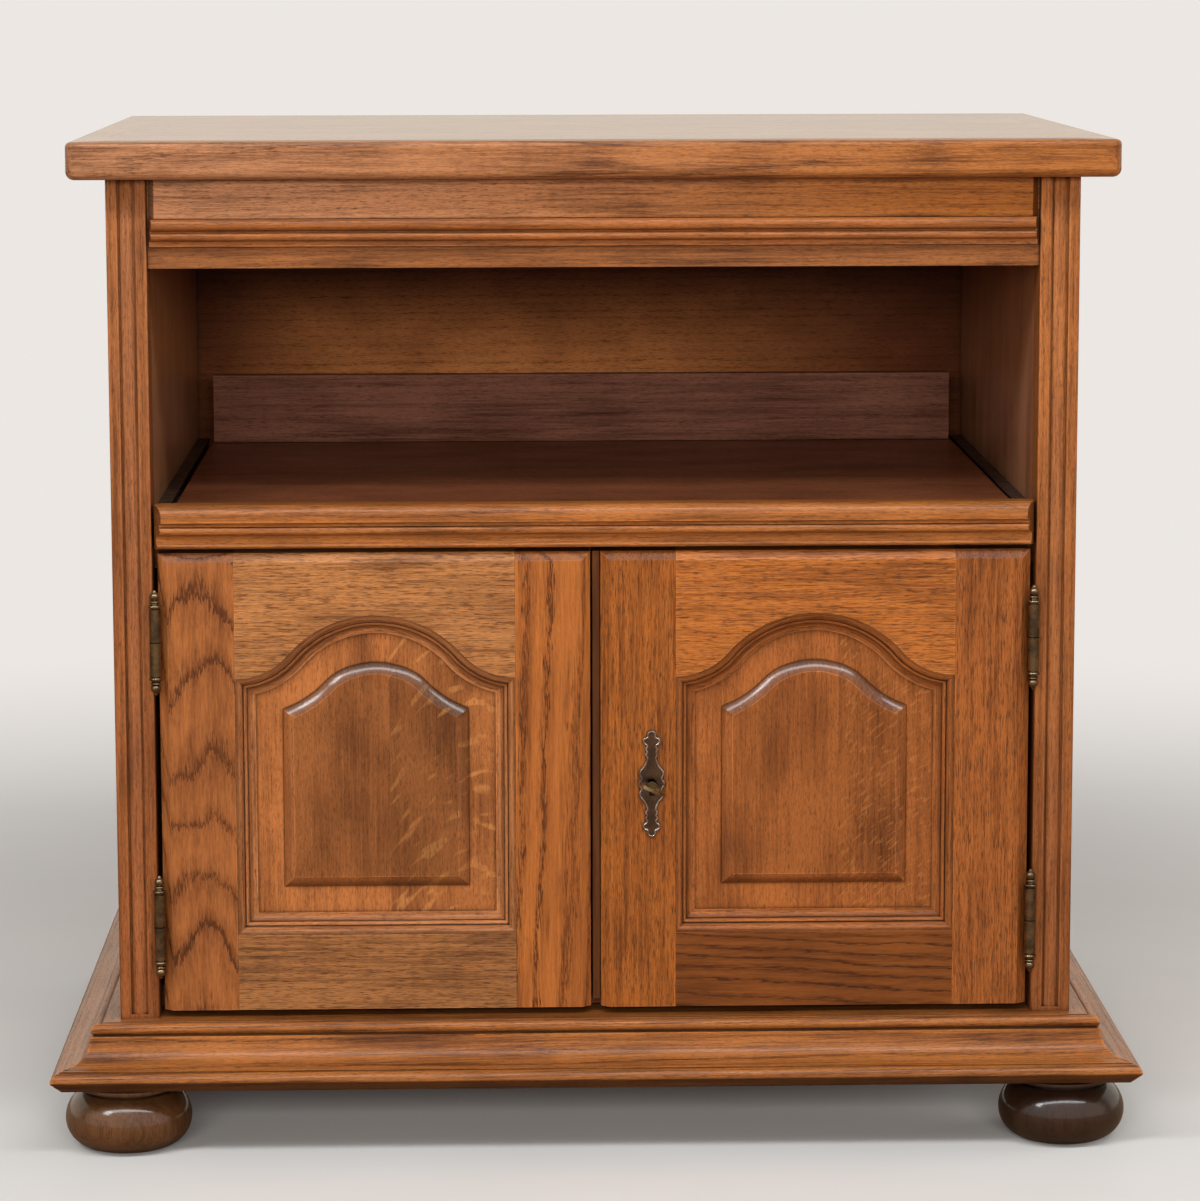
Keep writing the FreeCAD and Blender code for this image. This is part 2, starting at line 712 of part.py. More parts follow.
def mitre_points():
    """Where the arched run and the upright run have the same distance from the frame."""
    points = []
    for k in range(5):
        w = moulding_width * k / 4
        points.append((door_stile + w, shoulder + foot_arc - math.sqrt((foot_arc + w) ** 2 - w ** 2)))
    return points


def in_door(u, y, v):
    return V(door_edge_x - u, door_front + y, door_bottom + v)


m = moulding_width
low = door_bottom_rail
upright_run = moulding_face(lambda w, y: in_door(door_stile + w, y, low), 0)
upright_run = upright_run.extrude(V(0, 0, shoulder - low))
low_mitre = (door_stile + m, low + m)
points = mitre_points()
upright_trim = outline(door_place(-5), (door_stile, low), low_mitre, *reversed(points))
upright_trim = upright_trim.extrude(V(0, 5 + door_thickness, 0))
upright_run = upright_run.common(upright_trim)
low_run = moulding_face(lambda w, y: in_door(door_stile, y, low + w), 0).extrude(V(-2 * half_span, 0, 0))
low_trim = outline(door_place(-5), (door_stile, low), (far, low), mirrored(low_mitre),
                   low_mitre).extrude(V(0, 5 + door_thickness, 0))
low_run = low_run.common(low_trim)
turn = math.degrees(turn_angle + math.pi / 2)
foot_run = moulding_face(lambda w, y: in_door(door_stile, y, shoulder - w), moulding_curve_gap)
foot_axis = in_door(foot_c[0], 0, foot_c[1])
foot_run = foot_run.revolve(foot_axis, V(0, 1, 0), turn)
crown_face = moulding_face(lambda w, y: in_door(arch_mid, y, arch_crown - w), moulding_curve_gap)
crown_axis = in_door(crown_c[0], 0, crown_c[1])
crown_run = crown_face.revolve(crown_axis, V(0, 1, 0), -turn)
arch_half = foot_run.fuse(crown_run)
corner_trim = outline(door_place(-5), *points, (door_stile + m, shoulder - 2 * m),
                      (door_stile - m, shoulder - 2 * m), (door_stile - m, shoulder))
corner_trim = corner_trim.extrude(V(0, 5 + door_thickness, 0))
arch_half = arch_half.cut(corner_trim)
upright_far = upright_run.mirror(V(centre_x, 0, 0), V(1, 0, 0))
arch_run = arch_half.fuse(arch_half.mirror(V(centre_x, 0, 0), V(1, 0, 0))).removeSplitter()
panel_moulding = Part.makeCompound([upright_run, upright_far, low_run, arch_run])

nodes["right_door_hinge_stile"] = hinge_stile
nodes["right_door_top_rail"] = high_rail
nodes["right_door_bottom_rail"] = low_rail
nodes["right_door_panel"] = panel
nodes["right_door_panel_moulding"] = panel_moulding
for piece in ("hinge_stile", "top_rail", "bottom_rail", "panel", "panel_moulding"):
    nodes["left_door_" + piece] = flip(nodes["right_door_" + piece])

# Lock: case let into the free edge of the right door, bolt above the key, mortise in the left door
case_y = (door_front + lock_case_front, door_front + lock_case_front + lock_case_thickness)
case_z = (lock_z - lock_case_height / 2, lock_z + lock_case_height / 2)
case_x = (meeting_x, meeting_x + lock_case_depth)
case_box = box(*case_x, *case_y, *case_z)
hollow = box(case_x[0] + lock_wall, case_x[1] - lock_wall, case_y[0] + lock_wall, case_y[1] - lock_wall,
             case_z[0] + lock_wall, case_z[1] - lock_wall)
bolt_y0 = (case_y[0] + case_y[1] - bolt_thickness) / 2
bolt_z0 = lock_z + bolt_above_key
bolt_x0 = meeting_x + bolt_clear
bolt_slot = box(case_x[0], case_x[0] + lock_wall,
                bolt_y0 - bolt_clear, bolt_y0 + bolt_thickness + bolt_clear,
                bolt_z0 - bolt_clear, bolt_z0 + bolt_height + bolt_clear)


def keyhole(y0, y1):
    hole = cylinder(V(lock_x, y0, lock_z), V(0, 1, 0), keyhole_radius, y1 - y0)
    slot = box(lock_x - keyhole_slot_width / 2, lock_x + keyhole_slot_width / 2, y0, y1,
               lock_z - keyhole_slot_drop, lock_z)
    return hole.fuse(slot)


nodes["lock_case"] = case_box.cut([hollow, bolt_slot, keyhole(case_y[0], case_y[0] + lock_wall)])
nodes["lock_bolt"] = box(bolt_x0, bolt_x0 + bolt_length, bolt_y0, bolt_y0 + bolt_thickness, bolt_z0,
                         bolt_z0 + bolt_height)
strike_depth = bolt_throw - meeting_gap + strike_end_clear
strike = box(-meeting_x - strike_depth, -meeting_x,
             bolt_y0 - strike_clear, bolt_y0 + bolt_thickness + strike_clear,
             bolt_z0 - strike_clear, bolt_z0 + bolt_height + strike_clear)
nodes["left_door_meeting_stile"] = flip(free_stile).cut(strike)

# Escutcheon: knobs, lobes and a swell, the same above and below the keyhole
unit = escutcheon_height / 85.5
plate_y = door_front - escutcheon_thickness


def plate_disc(x, z, radius):
    centre = V(lock_x + x * unit, plate_y, lock_z + z * unit)
    return cylinder(centre, V(0, 1, 0), radius * unit, escutcheon_thickness)


def plate_shape(start, *steps):
    face = outline(lambda x, z: V(lock_x + x * unit, plate_y, lock_z + z * unit), start, *steps)
    return face.extrude(V(0, escutcheon_thickness, 0))


plate_parts = [plate_disc(-6.8, 0, 3.9), plate_disc(6.8, 0, 3.9)]
for s in (-1, 1):
    plate_parts.append(plate_disc(0, s * 39.05, 3.7))
    for x in (-1, 1):
        plate_parts.append(plate_disc(x * 3.8, s * 34.2, 3.3))
        plate_parts.append(plate_disc(x * 3.7, s * 27.6, 1.7))
        plate_parts.append(plate_disc(x * 3.6, s * 23.2, 1.8))
    plate_parts.append(plate_shape((-4.2, s * 22), (-4.2, s * 36), (4.2, s * 36), (4.2, s * 22)))
    plate_parts.append(plate_shape((-8.4, 0), (-8.4, s * 4.4), (-10.0, s * 8.6, -8.2, s * 12.2),
                                   (-5.0, s * 17.0, -3.9, s * 22.5), (3.9, s * 22.5),
                                   (5.0, s * 17.0, 8.2, s * 12.2), (10.0, s * 8.6, 8.4, s * 4.4), (8.4, 0)))
plate = plate_parts[0].fuse(plate_parts[1:]).removeSplitter()
pin_bores = []
pins = []
for s in (-1, 1):
    foot = V(lock_x, plate_y, lock_z + s * 36.0 * unit)
    pin_bores.append(cylinder(foot, V(0, 1, 0), escutcheon_pin_radius + fit, escutcheon_thickness
                              + escutcheon_pin_length + tenon_clearance))
    shank = cylinder(foot, V(0, 1, 0), escutcheon_pin_radius, escutcheon_thickness + escutcheon_pin_length)
    dome = Part.makeSphere(escutcheon_pin_head, foot).common(
        cylinder(foot, V(0, -1, 0), escutcheon_pin_head, escutcheon_pin_head))
    pins.append(shank.fuse(dome).removeSplitter())
nodes["escutcheon"] = plate.cut([keyhole(plate_y, door_front)] + pin_bores)
nodes["escutcheon_pins"] = Part.makeCompound(pins)
nodes["right_door_lock_stile"] = free_stile.cut([case_box, keyhole(door_front, case_y[0])] + pin_bores)

# Key: bow seen edge-on, collar, shaft and bit, turned about its shaft
bow_end = plate_y - key_stem
bow_middle = bow_end - key_bow_length / 2 + key_shaft_radius / 2
bit_y = (case_y[0] + lock_wall + bolt_clear, case_y[1] - lock_wall - bolt_clear)
shaft = cylinder(V(0, bow_end, 0), V(0, 1, 0), key_shaft_radius, bit_y[1] - bow_end)
collar = cylinder(V(0, bow_end, 0), V(0, 1, 0), key_collar_radius, key_shaft_radius)
bow_outer = Part.Ellipse(V(0, bow_middle, 0), key_bow_width / 2, key_bow_length / 2).toShape()
bow_inner = Part.Ellipse(V(0, bow_middle, 0), key_bow_width / 2 - key_bow_rim,
                         key_bow_length / 2 - key_bow_rim).toShape()
bow = Part.Face(Part.Wire(bow_outer)).cut(Part.Face(Part.Wire(bow_inner)))
bow = bow.extrude(V(0, 0, key_bow_thickness))
bow.translate(V(0, 0, -key_bow_thickness / 2))
bit = box(0, key_bit_radius, *bit_y, -key_bit_thickness / 2, key_bit_thickness / 2)
key = shaft.fuse([collar, bow, bit]).removeSplitter()
key.rotate(V(0, 0, 0), V(0, 1, 0), key_bow_slant)
key.translate(V(lock_x, 0, lock_z))
nodes["key"] = key

# Strip on the back of the right door that closes the view through the gap
strip_x = meeting_x - strip_reach
nodes["meeting_strip"] = box(strip_x, strip_x + strip_width, door_back, door_back + strip_thickness,
                             door_bottom + strip_bottom_gap, door_top)

# Catch under the deck and its plate on the back of the left door
catch_x = -meeting_x - catch_from_edge
catch_y = door_back + catch_plate_thickness + catch_air
catch_z = deck_z[0]
catch_body = box(catch_x - catch_length, catch_x, catch_y, catch_y + catch_depth,
                 catch_z - catch_height, catch_z)
catch_slot = box(catch_x - catch_length * 0.8, catch_x - catch_length * 0.2,
                 catch_y, catch_y + catch_plate_thickness,
                 catch_z - catch_height * 0.65, catch_z - catch_height * 0.35)
nodes["left_door_catch"] = catch_body.cut(catch_slot)
plate_end = catch_x - (catch_length - catch_plate_length) / 2
plate_low = catch_z - (catch_height + catch_plate_height) / 2
nodes["left_catch_plate"] = box(plate_end - catch_plate_length, plate_end,
                                door_back, door_back + catch_plate_thickness,
                                plate_low, plate_low + catch_plate_height)

# Pull-out shelf: panel, moulding with returned ends, upstand
shelf_front = body_front - shelf_moulding_proud + shelf_moulding_depth
shelf_half = half_opening - shelf_side_gap
shelf_end = back_face - shelf_back_gap
nodes["shelf_panel"] = box(-shelf_half, shelf_half, shelf_front, shelf_end, shelf_bottom, shelf_top)
upstand_half = shelf_half - upstand_inset
upstand_back = back_face - upstand_from_back
nodes["shelf_upstand"] = box(-upstand_half, upstand_half, upstand_back - upstand_thickness, upstand_back,
                             shelf_top, shelf_top + upstand_height)
d = shelf_moulding_depth
h = shelf_moulding_height
nodes["shelf_front_moulding"] = bevelled(
    shelf_front, half_opening - shelf_moulding_gap, d, shelf_moulding_end, shelf_moulding_top, (d - 8, 0),
    (d - 2.2, h * 0.09, d, h * 0.27), (d, h * 0.39), (d - 2.5, h * 0.42), (d - 2.5, h * 0.485),
    (d - 3.8, h * 0.5), (d - 1.2, h * 0.59, d - 3.8, h * 0.68), (d - 5.6, h * 0.71, d - 6.5, h * 0.78),
    (d - 6.5, h * 0.9), (d - 5.2, h * 0.945, d - 6.5, h * 0.985), (d - 6.5, h))

# Roller runners: a channel on the side with a front roller, an angle on the shelf with a rear roller
channel_z = (shelf_moulding_bottom + runner_drop, shelf_moulding_bottom + runner_drop + runner_height)
channel_y = (post_back, back_face - shelf_back_gap / 2)
channel_inner = half_opening - runner_steel
roller_z = channel_z[0] + runner_steel + fit + roller_radius
rail_z = roller_z + roller_radius + fit
web_x = shelf_half + runner_steel
roller_x = (web_x + roller_side_gap, web_x + roller_side_gap + roller_width)
front_roller_y = post_back + front_roller_from_post
rear_roller_y = shelf_end - rear_roller_from_end
channel = box(channel_inner, half_opening, *channel_y, *channel_z)
channel_low = box(channel_inner - runner_flange, channel_inner, *channel_y,
                  channel_z[0], channel_z[0] + runner_steel)
channel_high = box(channel_inner - runner_flange + roller_side_gap, channel_inner, *channel_y,
                   channel_z[1] - runner_steel, channel_z[1])
axle_end = V(roller_x[0] - fit, front_roller_y, roller_z)
front_axle = cylinder(axle_end, V(1, 0, 0), axle_radius, channel_inner - axle_end.x)
front_head = cylinder(axle_end, V(-1, 0, 0), axle_head_radius, axle_head)
channel = channel.fuse([channel_low, channel_high, front_axle, front_head])
nodes["right_cabinet_runner"] = channel.removeSplitter()
rail_web = box(shelf_half, web_x, shelf_front, shelf_end,
               shelf_bottom - runner_steel, rail_z + runner_steel)
rail_flange = box(web_x, web_x + runner_flange, shelf_front, shelf_end, rail_z, rail_z + runner_steel)
rear_axle = cylinder(V(web_x, rear_roller_y, roller_z), V(1, 0, 0), axle_radius, roller_x[1] - web_x + fit)
rear_head = cylinder(V(roller_x[1] + fit, rear_roller_y, roller_z), V(1, 0, 0), axle_head_radius, axle_head)
nodes["right_shelf_runner"] = rail_web.fuse([rail_flange, rear_axle, rear_head]).removeSplitter()
for name, y in (("front_roller", front_roller_y), ("rear_roller", rear_roller_y)):
    wheel = cylinder(V(roller_x[0], y, roller_z), V(1, 0, 0), roller_radius, roller_width)
    bore = cylinder(V(roller_x[0], y, roller_z), V(1, 0, 0), roller_bore, roller_width)
    nodes["right_" + name] = wheel.cut(bore)
for piece in ("cabinet_runner", "shelf_runner", "front_roller", "rear_roller"):
    nodes["left_" + piece] = flip(nodes["right_" + piece])

os.makedirs("parts", exist_ok=True)
for name, shape in nodes.items():
    shape.exportStep("parts/" + name + ".step")
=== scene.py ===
import math

import bpy
import numpy as np
from mathutils import Euler, Matrix, Vector


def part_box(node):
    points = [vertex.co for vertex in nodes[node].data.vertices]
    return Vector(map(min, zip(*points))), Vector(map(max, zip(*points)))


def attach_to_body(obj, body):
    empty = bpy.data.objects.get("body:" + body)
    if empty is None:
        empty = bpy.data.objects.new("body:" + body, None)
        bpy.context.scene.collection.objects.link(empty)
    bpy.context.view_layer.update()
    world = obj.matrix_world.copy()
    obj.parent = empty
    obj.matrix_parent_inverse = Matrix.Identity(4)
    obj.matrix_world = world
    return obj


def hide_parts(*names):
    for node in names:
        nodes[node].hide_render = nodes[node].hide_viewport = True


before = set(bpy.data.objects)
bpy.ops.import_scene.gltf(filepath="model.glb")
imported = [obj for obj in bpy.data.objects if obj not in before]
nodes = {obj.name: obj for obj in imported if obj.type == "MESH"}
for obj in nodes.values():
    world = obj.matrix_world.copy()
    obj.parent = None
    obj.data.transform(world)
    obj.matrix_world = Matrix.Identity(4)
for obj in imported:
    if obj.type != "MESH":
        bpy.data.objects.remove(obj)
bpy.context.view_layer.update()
scene = bpy.context.scene

# Camera of the photograph, fitted to the cabinet's edges, with its focal length and centre in pixels
PHOTO_WIDTH = 1200
FOCAL_PIXELS = 4099.1
CENTRE_PIXELS = 49.1
EYE = Vector((-0.0806, -3.4166, 0.9254))
LOOK = Vector((0.0263, 0.9897, -0.1408))
ROLL = -0.002
SENSOR = 36.0
LENS = FOCAL_PIXELS / PHOTO_WIDTH * SENSOR
CENTRE_ABOVE_MIDDLE = CENTRE_PIXELS / PHOTO_WIDTH

# Stain colours of the oak, as they look in plain light
OAK_PALE = (0.44, 0.145, 0.045)
OAK_DARK = (0.110, 0.031, 0.010)
OAK_PORE = (0.060, 0.020, 0.008)
OAK_RAY = (0.68, 0.27, 0.090)

# Millimetres in a metre
MM = 1000


def box_mm(node):
    """Lowest and highest corner of a node at rest, in millimetres."""
    low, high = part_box(node)
    return low * MM, high * MM


# Door sizes in millimetres, from the right door's solids: u from the hinge edge, v up, y behind the face
stile_low, stile_high = box_mm("right_door_hinge_stile")
bottom_low, bottom_high = box_mm("right_door_bottom_rail")
panel_low, panel_high = box_mm("right_door_panel")
lock_stile_low = box_mm("right_door_lock_stile")[0]
top_rail_low = box_mm("right_door_top_rail")[0]
moulding_high = box_mm("right_door_panel_moulding")[1]
DOOR_EDGE, DOOR_FRONT, DOOR_BOTTOM = stile_high.x, stile_low.y, stile_low.z
DOOR_MIDDLE = (stile_high.x - lock_stile_low.x) / 2
STILE = stile_high.x - stile_low.x
LOW_RAIL = bottom_high.z - bottom_low.z

# Arch of the door's opening: foot arcs on the uprights turn into a crown arc with this share of both radii
ARCH_SPRING = top_rail_low.z - DOOR_BOTTOM
ARCH_RISE = 50.0
CROWN_SHARE = 0.62
BOTH_ARCS = ((DOOR_MIDDLE - STILE) ** 2 + ARCH_RISE ** 2) / (2 * ARCH_RISE)
CROWN_ARC = CROWN_SHARE * BOTH_ARCS
FOOT_ARC = BOTH_ARCS - CROWN_ARC
FOOT_CENTRE = (STILE, ARCH_SPRING + FOOT_ARC)
CROWN_CENTRE = (DOOR_MIDDLE, ARCH_SPRING + ARCH_RISE - CROWN_ARC)
ARCH_TURN = math.atan2(CROWN_CENTRE[1] - FOOT_CENTRE[1], CROWN_CENTRE[0] - FOOT_CENTRE[0])
STRAIGHT_STEPS, FOOT_STEPS, CROWN_STEPS = 28, 12, 36

# Panel moulding and raised panel in the door's u, v and y
MOULDING_WIDTH, MOULDING_SET_BACK = 15.6, 0.3
PANEL_FRONT, PANEL_BACK = moulding_high.y - DOOR_FRONT, panel_high.y - DOOR_FRONT
PANEL_EDGE = stile_low.x - panel_high.x
FIELD_EDGE, FIELD_INNER = 37.2, 44.8
FIELD_SPRING, FIELD_HEART = 232.0, 180.0
CROWN_LIFT, SPRING_LIFT = -2.0, 3.0
CROWN_FLAT, LIFT_TURN = 15.0, 55.0
QUIRK_Y, BEVEL_Y, FIELD_Y = 11.6, 6.6, panel_low.y - DOOR_FRONT

# Body above the base, in millimetres
post_low, post_high = box_mm("right_post")
BODY_HALF, BODY_FRONT, BASE_TOP = post_high.x, post_low.y, post_low.z
BODY_BACK = box_mm("right_side_panel")[1].y

# Strip between the doors, in millimetres: its tongue, the rounding of the tongue's corners and what it cuts
# off along both sides of a corner, its plate, the room for the bolt and the share of the tongue left there
TONGUE_LEFT, TONGUE_RIGHT, TONGUE_SET_BACK = -2.6, 3.7, 5.0
TONGUE_ROUND, TONGUE_CUT = 1.2, 0.35
PLATE_LEFT = -1.5
BOLT_ROOM, BOLT_CLEAR, BOLT_SHARE = 0.8, 0.5, 0.02

# Keyhole plate in millimetres from its middle; a disc has its centre across and up, and its radius
PLATE_DISCS = [(6.8, 0.0, 3.9), (0.0, 39.05, 3.7), (3.8, 34.2, 3.3), (3.7, 27.6, 1.7), (3.6, 23.2, 1.8)]
SWELL_TOP = 22.5
NECK_LOW, NECK_HIGH, NECK_HALF = 22, 36, 4.2
RIM_TOP, RIM_HALF, RIM_SUNK, RIM_HEIGHT = 42.7, 0.8, 0.3, 0.9

# Rounding of the arrises in millimetres
DOOR_ARRIS, CARCASS_ARRIS = 0.35, 0.6


class Recipe:
    """A node tree with short ways to add nodes: every call but fill returns the new node's output socket."""

    def __init__(self, tree):
        self.tree = tree

    def fill(self, node, inputs):
        """Links a node's inputs to sockets or sets them to values, given in order or by name."""
        pairs = inputs.items() if isinstance(inputs, dict) else enumerate(inputs)
        for key, value in pairs:
            if isinstance(value, bpy.types.NodeSocket):
                self.tree.links.new(value, node.inputs[key])
            else:
                node.inputs[key].default_value = value

    def add(self, kind, inputs=(), out=0, **settings):
        node = self.tree.nodes.new("ShaderNode" + kind)
        for name, value in settings.items():
            setattr(node, name, value)
        self.fill(node, inputs)
        return node.outputs[out]

    def math(self, operation, *values):
        return self.add("Math", values, operation=operation)

    def vector(self, operation, *values, out=0):
        return self.add("VectorMath", values, out, operation=operation)

    def dot(self, first, second):
        return self.vector("DOT_PRODUCT", first, second, out="Value")

    def place(self):
        """Object coordinates in metres."""
        return self.add("TexCoord", out="Object")

    def place_mm(self):
        """Object coordinates in millimetres."""
        return self.vector("MULTIPLY", self.place(), (MM, MM, MM))

    def noise(self, place, stretch, detail=2.0, out=0, **more):
        """Noise of a place in millimetres, with so many waves per millimetre along each axis."""
        at = self.vector("MULTIPLY", place, stretch)
        return self.add("TexNoise", {"Vector": at, "Scale": 1.0, "Detail": detail, **more}, out)

    def fade(self, value, low, high, at_low=0.0, at_high=1.0):
        """Smooth step of value from low to high."""
        return self.add("MapRange", {0: value, 1: low, 2: high, 3: at_low, 4: at_high},
                        interpolation_type="SMOOTHSTEP")

    def blend(self, share, first, second, way="MIX"):
        return self.add("Mix", {0: share, 6: first, 7: second}, 2, data_type="RGBA", blend_type=way)

    def grey(self, value):
        return self.add("CombineColor", (value, value, value))

    def ramp(self, value, *stops):
        """Grey ramp through stops of position and value."""
        socket = self.add("ValToRGB", (value,))
        points = socket.node.color_ramp.elements
        while len(points) < len(stops):
            points.new(0.5)
        for point, (position, grey) in zip(points, stops):
            point.position = position
            point.color = (grey, grey, grey, 1.0)
        return socket


def group_tree(name, inputs, outputs):
    """Empty node group with its sockets, and the group's own input and output sockets."""
    tree = bpy.data.node_groups.new(name, "ShaderNodeTree")
    for socket, kind, value in inputs:
        made = tree.interface.new_socket(socket, in_out="INPUT", socket_type="NodeSocket" + kind)
        made.default_value = value
    for socket, kind in outputs:
        tree.interface.new_socket(socket, in_out="OUTPUT", socket_type="NodeSocket" + kind)
    return tree, tree.nodes.new("NodeGroupInput").outputs, tree.nodes.new("NodeGroupOutput").inputs


def oak_grain():
    """Stained oak in board millimetres: X runs along the fibres, the tree's heart is the line Y = Z = 0.

    The distance from the heart, bent by slow noise and feathered by fine stretched noise, is counted in ring
    widths. The first part of each ring is porous and takes the stain dark. Pores are thin noise cells, Band
    of them in that part and Scatter of them everywhere. Fleck is where pale rays show. End grain takes more
    stain. Recesses and inner corners are darkened with painted shade; arrises are paler, partly from rubbed
    wear and partly as a painted highlight. The last input scales the colour by each piece's own stain and
    painted light and shade.
    """
    tree, given, wanted = group_tree("oak_grain", [
        ("Board", "Vector", (0, 0, 0)), ("Fibre", "Vector", (1, 0, 0)), ("Ring", "Float", 4.0),
        ("Wave", "Float", 6.0), ("Feather", "Float", 0.7), ("Figure", "Float", 0.35),
        ("Band", "Float", 0.45), ("Scatter", "Float", 0.3), ("Short", "Float", 1.0),
        ("Streak", "Float", 1.6), ("Cloud", "Float", 1.2), ("Fleck", "Float", 0.0),
        ("End", "Float", 0.45), ("Soak", "Float", 1.0), ("Pale", "Color", (*OAK_PALE, 1)),
        ("Dark", "Color", (*OAK_DARK, 1)), ("Ray", "Color", (*OAK_RAY, 1)),
    ], [("Color", "Color"), ("Roughness", "Float"), ("Height", "Float")])
    r = Recipe(tree)
    board = given["Board"]

    slow = r.noise(board, (0.006, 0.021, 0.021), 3.0, "Color")
    bend = r.vector("SUBTRACT", slow, (0.5, 0.5, 0.5))
    wave = r.add("CombineXYZ", (0.0, given["Wave"], given["Wave"]))
    bent = r.vector("ADD", board, r.vector("MULTIPLY", bend, wave))
    across = r.vector("MULTIPLY", bent, (0, 1, 1))
    radius = r.math("DIVIDE", r.vector("LENGTH", across, out="Value"), given["Ring"])

    cells = r.vector("MULTIPLY", board, r.add("CombineXYZ", (given["Short"], 1.0, 1.0)))
    feather = r.math("SUBTRACT", r.noise(cells, (0.06, 0.9, 0.9), 2.0), 0.5)
    year = r.math("SUBTRACT", r.noise(r.add("CombineXYZ", (radius, 0.0, 0.0)), (0.31, 0, 0), 1.0), 0.5)
    count = r.math("MULTIPLY_ADD", feather, given["Feather"], r.math("MULTIPLY_ADD", year, 1.6, radius))
    phase = r.math("FRACT", count)
    strength = r.add("TexWhiteNoise", {"W": r.math("FLOOR", count)}, noise_dimensions="1D")
    early = r.ramp(phase, (0.0, 0.25), (0.03, 1.0), (0.08, 0.7), (0.2, 0.2), (0.5, 0.0), (1.0, 0.25))
    early = r.math("MULTIPLY", early, r.math("MULTIPLY_ADD", strength, 0.6, 0.4))

    thin = r.fade(r.noise(cells, (0.14, 1.15, 1.15), 2.0, Roughness=0.6), 0.5, 0.63)
    finer = r.fade(r.noise(cells, (0.26, 2.0, 2.0), 1.0), 0.5, 0.63)
    density = r.math("MULTIPLY_ADD", early, given["Band"], given["Scatter"])
    pores = r.math("MULTIPLY", r.math("MULTIPLY_ADD", finer, 0.6, thin), density)
    fibres = r.math("SUBTRACT", r.noise(cells, (0.02, 0.7, 0.7), 3.0, Roughness=0.65), 0.5)
    band = r.math("SUBTRACT", r.noise(board, (0.006, 0.17, 0.17), 2.0), 0.5)
    cloud = r.math("SUBTRACT", r.noise(board, (0.011, 0.024, 0.024), 2.0), 0.5)

    shade = r.math("MULTIPLY", early, given["Figure"])
    shade = r.math("MULTIPLY_ADD", r.math("MULTIPLY_ADD", band, 0.7, fibres), given["Streak"], shade)
    shade = r.math("MULTIPLY_ADD", cloud, given["Cloud"], shade)
    shade = r.add("Clamp", (r.math("ADD", shade, 0.22),))
    colour = r.blend(shade, given["Pale"], given["Dark"])
    colour = r.blend(given["Fleck"], colour, given["Ray"])
    colour = r.blend(r.add("Clamp", (pores, 0.0, 0.85)), colour, (*OAK_PORE, 1))

    facing = r.add("TexCoord", out="Normal")
    end = r.fade(r.math("ABSOLUTE", r.dot(facing, given["Fibre"])), 0.35, 0.8)
    end = r.math("MULTIPLY_ADD", end, r.math("SUBTRACT", given["End"], 1.0), 1.0)
    # Painted shade: darker in recesses and inner corners
    recess = r.add("AmbientOcclusion", {"Distance": 0.009}, "AO", samples=4)
    recess = r.ramp(recess, (0.1, 0.5), (0.8, 1.0))
    corner = r.add("AmbientOcclusion", {"Distance": 0.0025}, "AO", samples=4)
    corner = r.ramp(corner, (0.3, 0.32), (0.55, 0.58), (0.85, 1.0))
    # Paler arrises: partly rubbed wear, partly a painted highlight
    arris = r.add("AmbientOcclusion", {"Distance": 0.0016}, "AO", samples=4, inside=True, only_local=True)
    arris = r.fade(arris, 0.45, 0.9, 1.4, 1.0)
    # End-grain stain times the painted shade and highlight, then the piece's own stain with painted light and
    # shade
    stain_and_painted_light = r.math("MULTIPLY", r.math("MULTIPLY", end, recess), r.math("MULTIPLY", corner, arris))
    stain_and_painted_light = r.math("MULTIPLY", stain_and_painted_light, given["Soak"])
    colour = r.blend(1.0, colour, r.grey(stain_and_painted_light), "MULTIPLY")

    rough = r.math("MULTIPLY_ADD", pores, 0.25, r.math("MULTIPLY_ADD", cloud, 0.16, 0.36))
    height = r.math("MULTIPLY_ADD", fibres, 0.35, r.math("MULTIPLY", pores, -1.0))
    for name, value in (("Color", colour), ("Roughness", rough), ("Height", height)):
        tree.links.new(value, wanted[name])
    return tree


GRAIN = oak_grain()

# Turn that lays the fibres of a board along X, and the fibres' own direction
TURNS = {"X": (0, 0, 0), "Y": (0, 0, -90), "Z": (0, 90, 0)}
FIBRE = {"X": (1, 0, 0), "Y": (0, 1, 0), "Z": (0, 0, 1)}


def new_material(name):
    """Empty material with its recipe and its shader."""
    material = bpy.data.materials.new(name)
    material.use_nodes = True
    tree = material.node_tree
    tree.nodes.clear()
    shader = tree.nodes.new("ShaderNodeBsdfPrincipled")
    output = tree.nodes.new("ShaderNodeOutputMaterial")
    tree.links.new(shader.outputs[0], output.inputs[0])
    return material, Recipe(tree), shader


def board_place(r, centre, grain, heart, tilt):
    """Object coordinates in millimetres, turned so that the fibres run along X and moved so that the board's
    middle lies at the given place from the heart."""
    turn = [math.radians(a) for a in TURNS[grain]]
    turn[2] += math.radians(tilt)
    middle = Euler(turn).to_matrix() @ (centre * MM)
    return r.add("Mapping", {"Vector": r.place(), "Location": Vector(heart) - middle, "Rotation": turn,
                             "Scale": (MM, MM, MM)})


def stained(tone):
    """The oak's pale, dark and ray colours under a stain of the given tone."""
    colours = {"Pale": OAK_PALE, "Dark": OAK_DARK, "Ray": OAK_RAY}
    return {name: (*(c * t for c, t in zip(colour, tone)), 1) for name, colour in colours.items()}


def oak_finish(r, shader, board, tone=(1.0, 1.0, 1.0), shine=0.2, coat=0.3, gloss=0.2, **look):
    """Grain group, bump and satin lacquer on one board."""
    group = r.tree.nodes.new("ShaderNodeGroup")
    group.node_tree = GRAIN
    r.fill(group, {"Board": board, **stained(tone), **look})
    bump = r.add("Bump", {"Strength": 0.3, "Distance": 0.0004, "Height": group.outputs["Height"]})
    r.fill(shader, {"Base Color": group.outputs["Color"], "Roughness": group.outputs["Roughness"],
                    "Normal": bump, "Specular IOR Level": shine, "Coat Weight": coat,
                    "Coat Roughness": gloss})


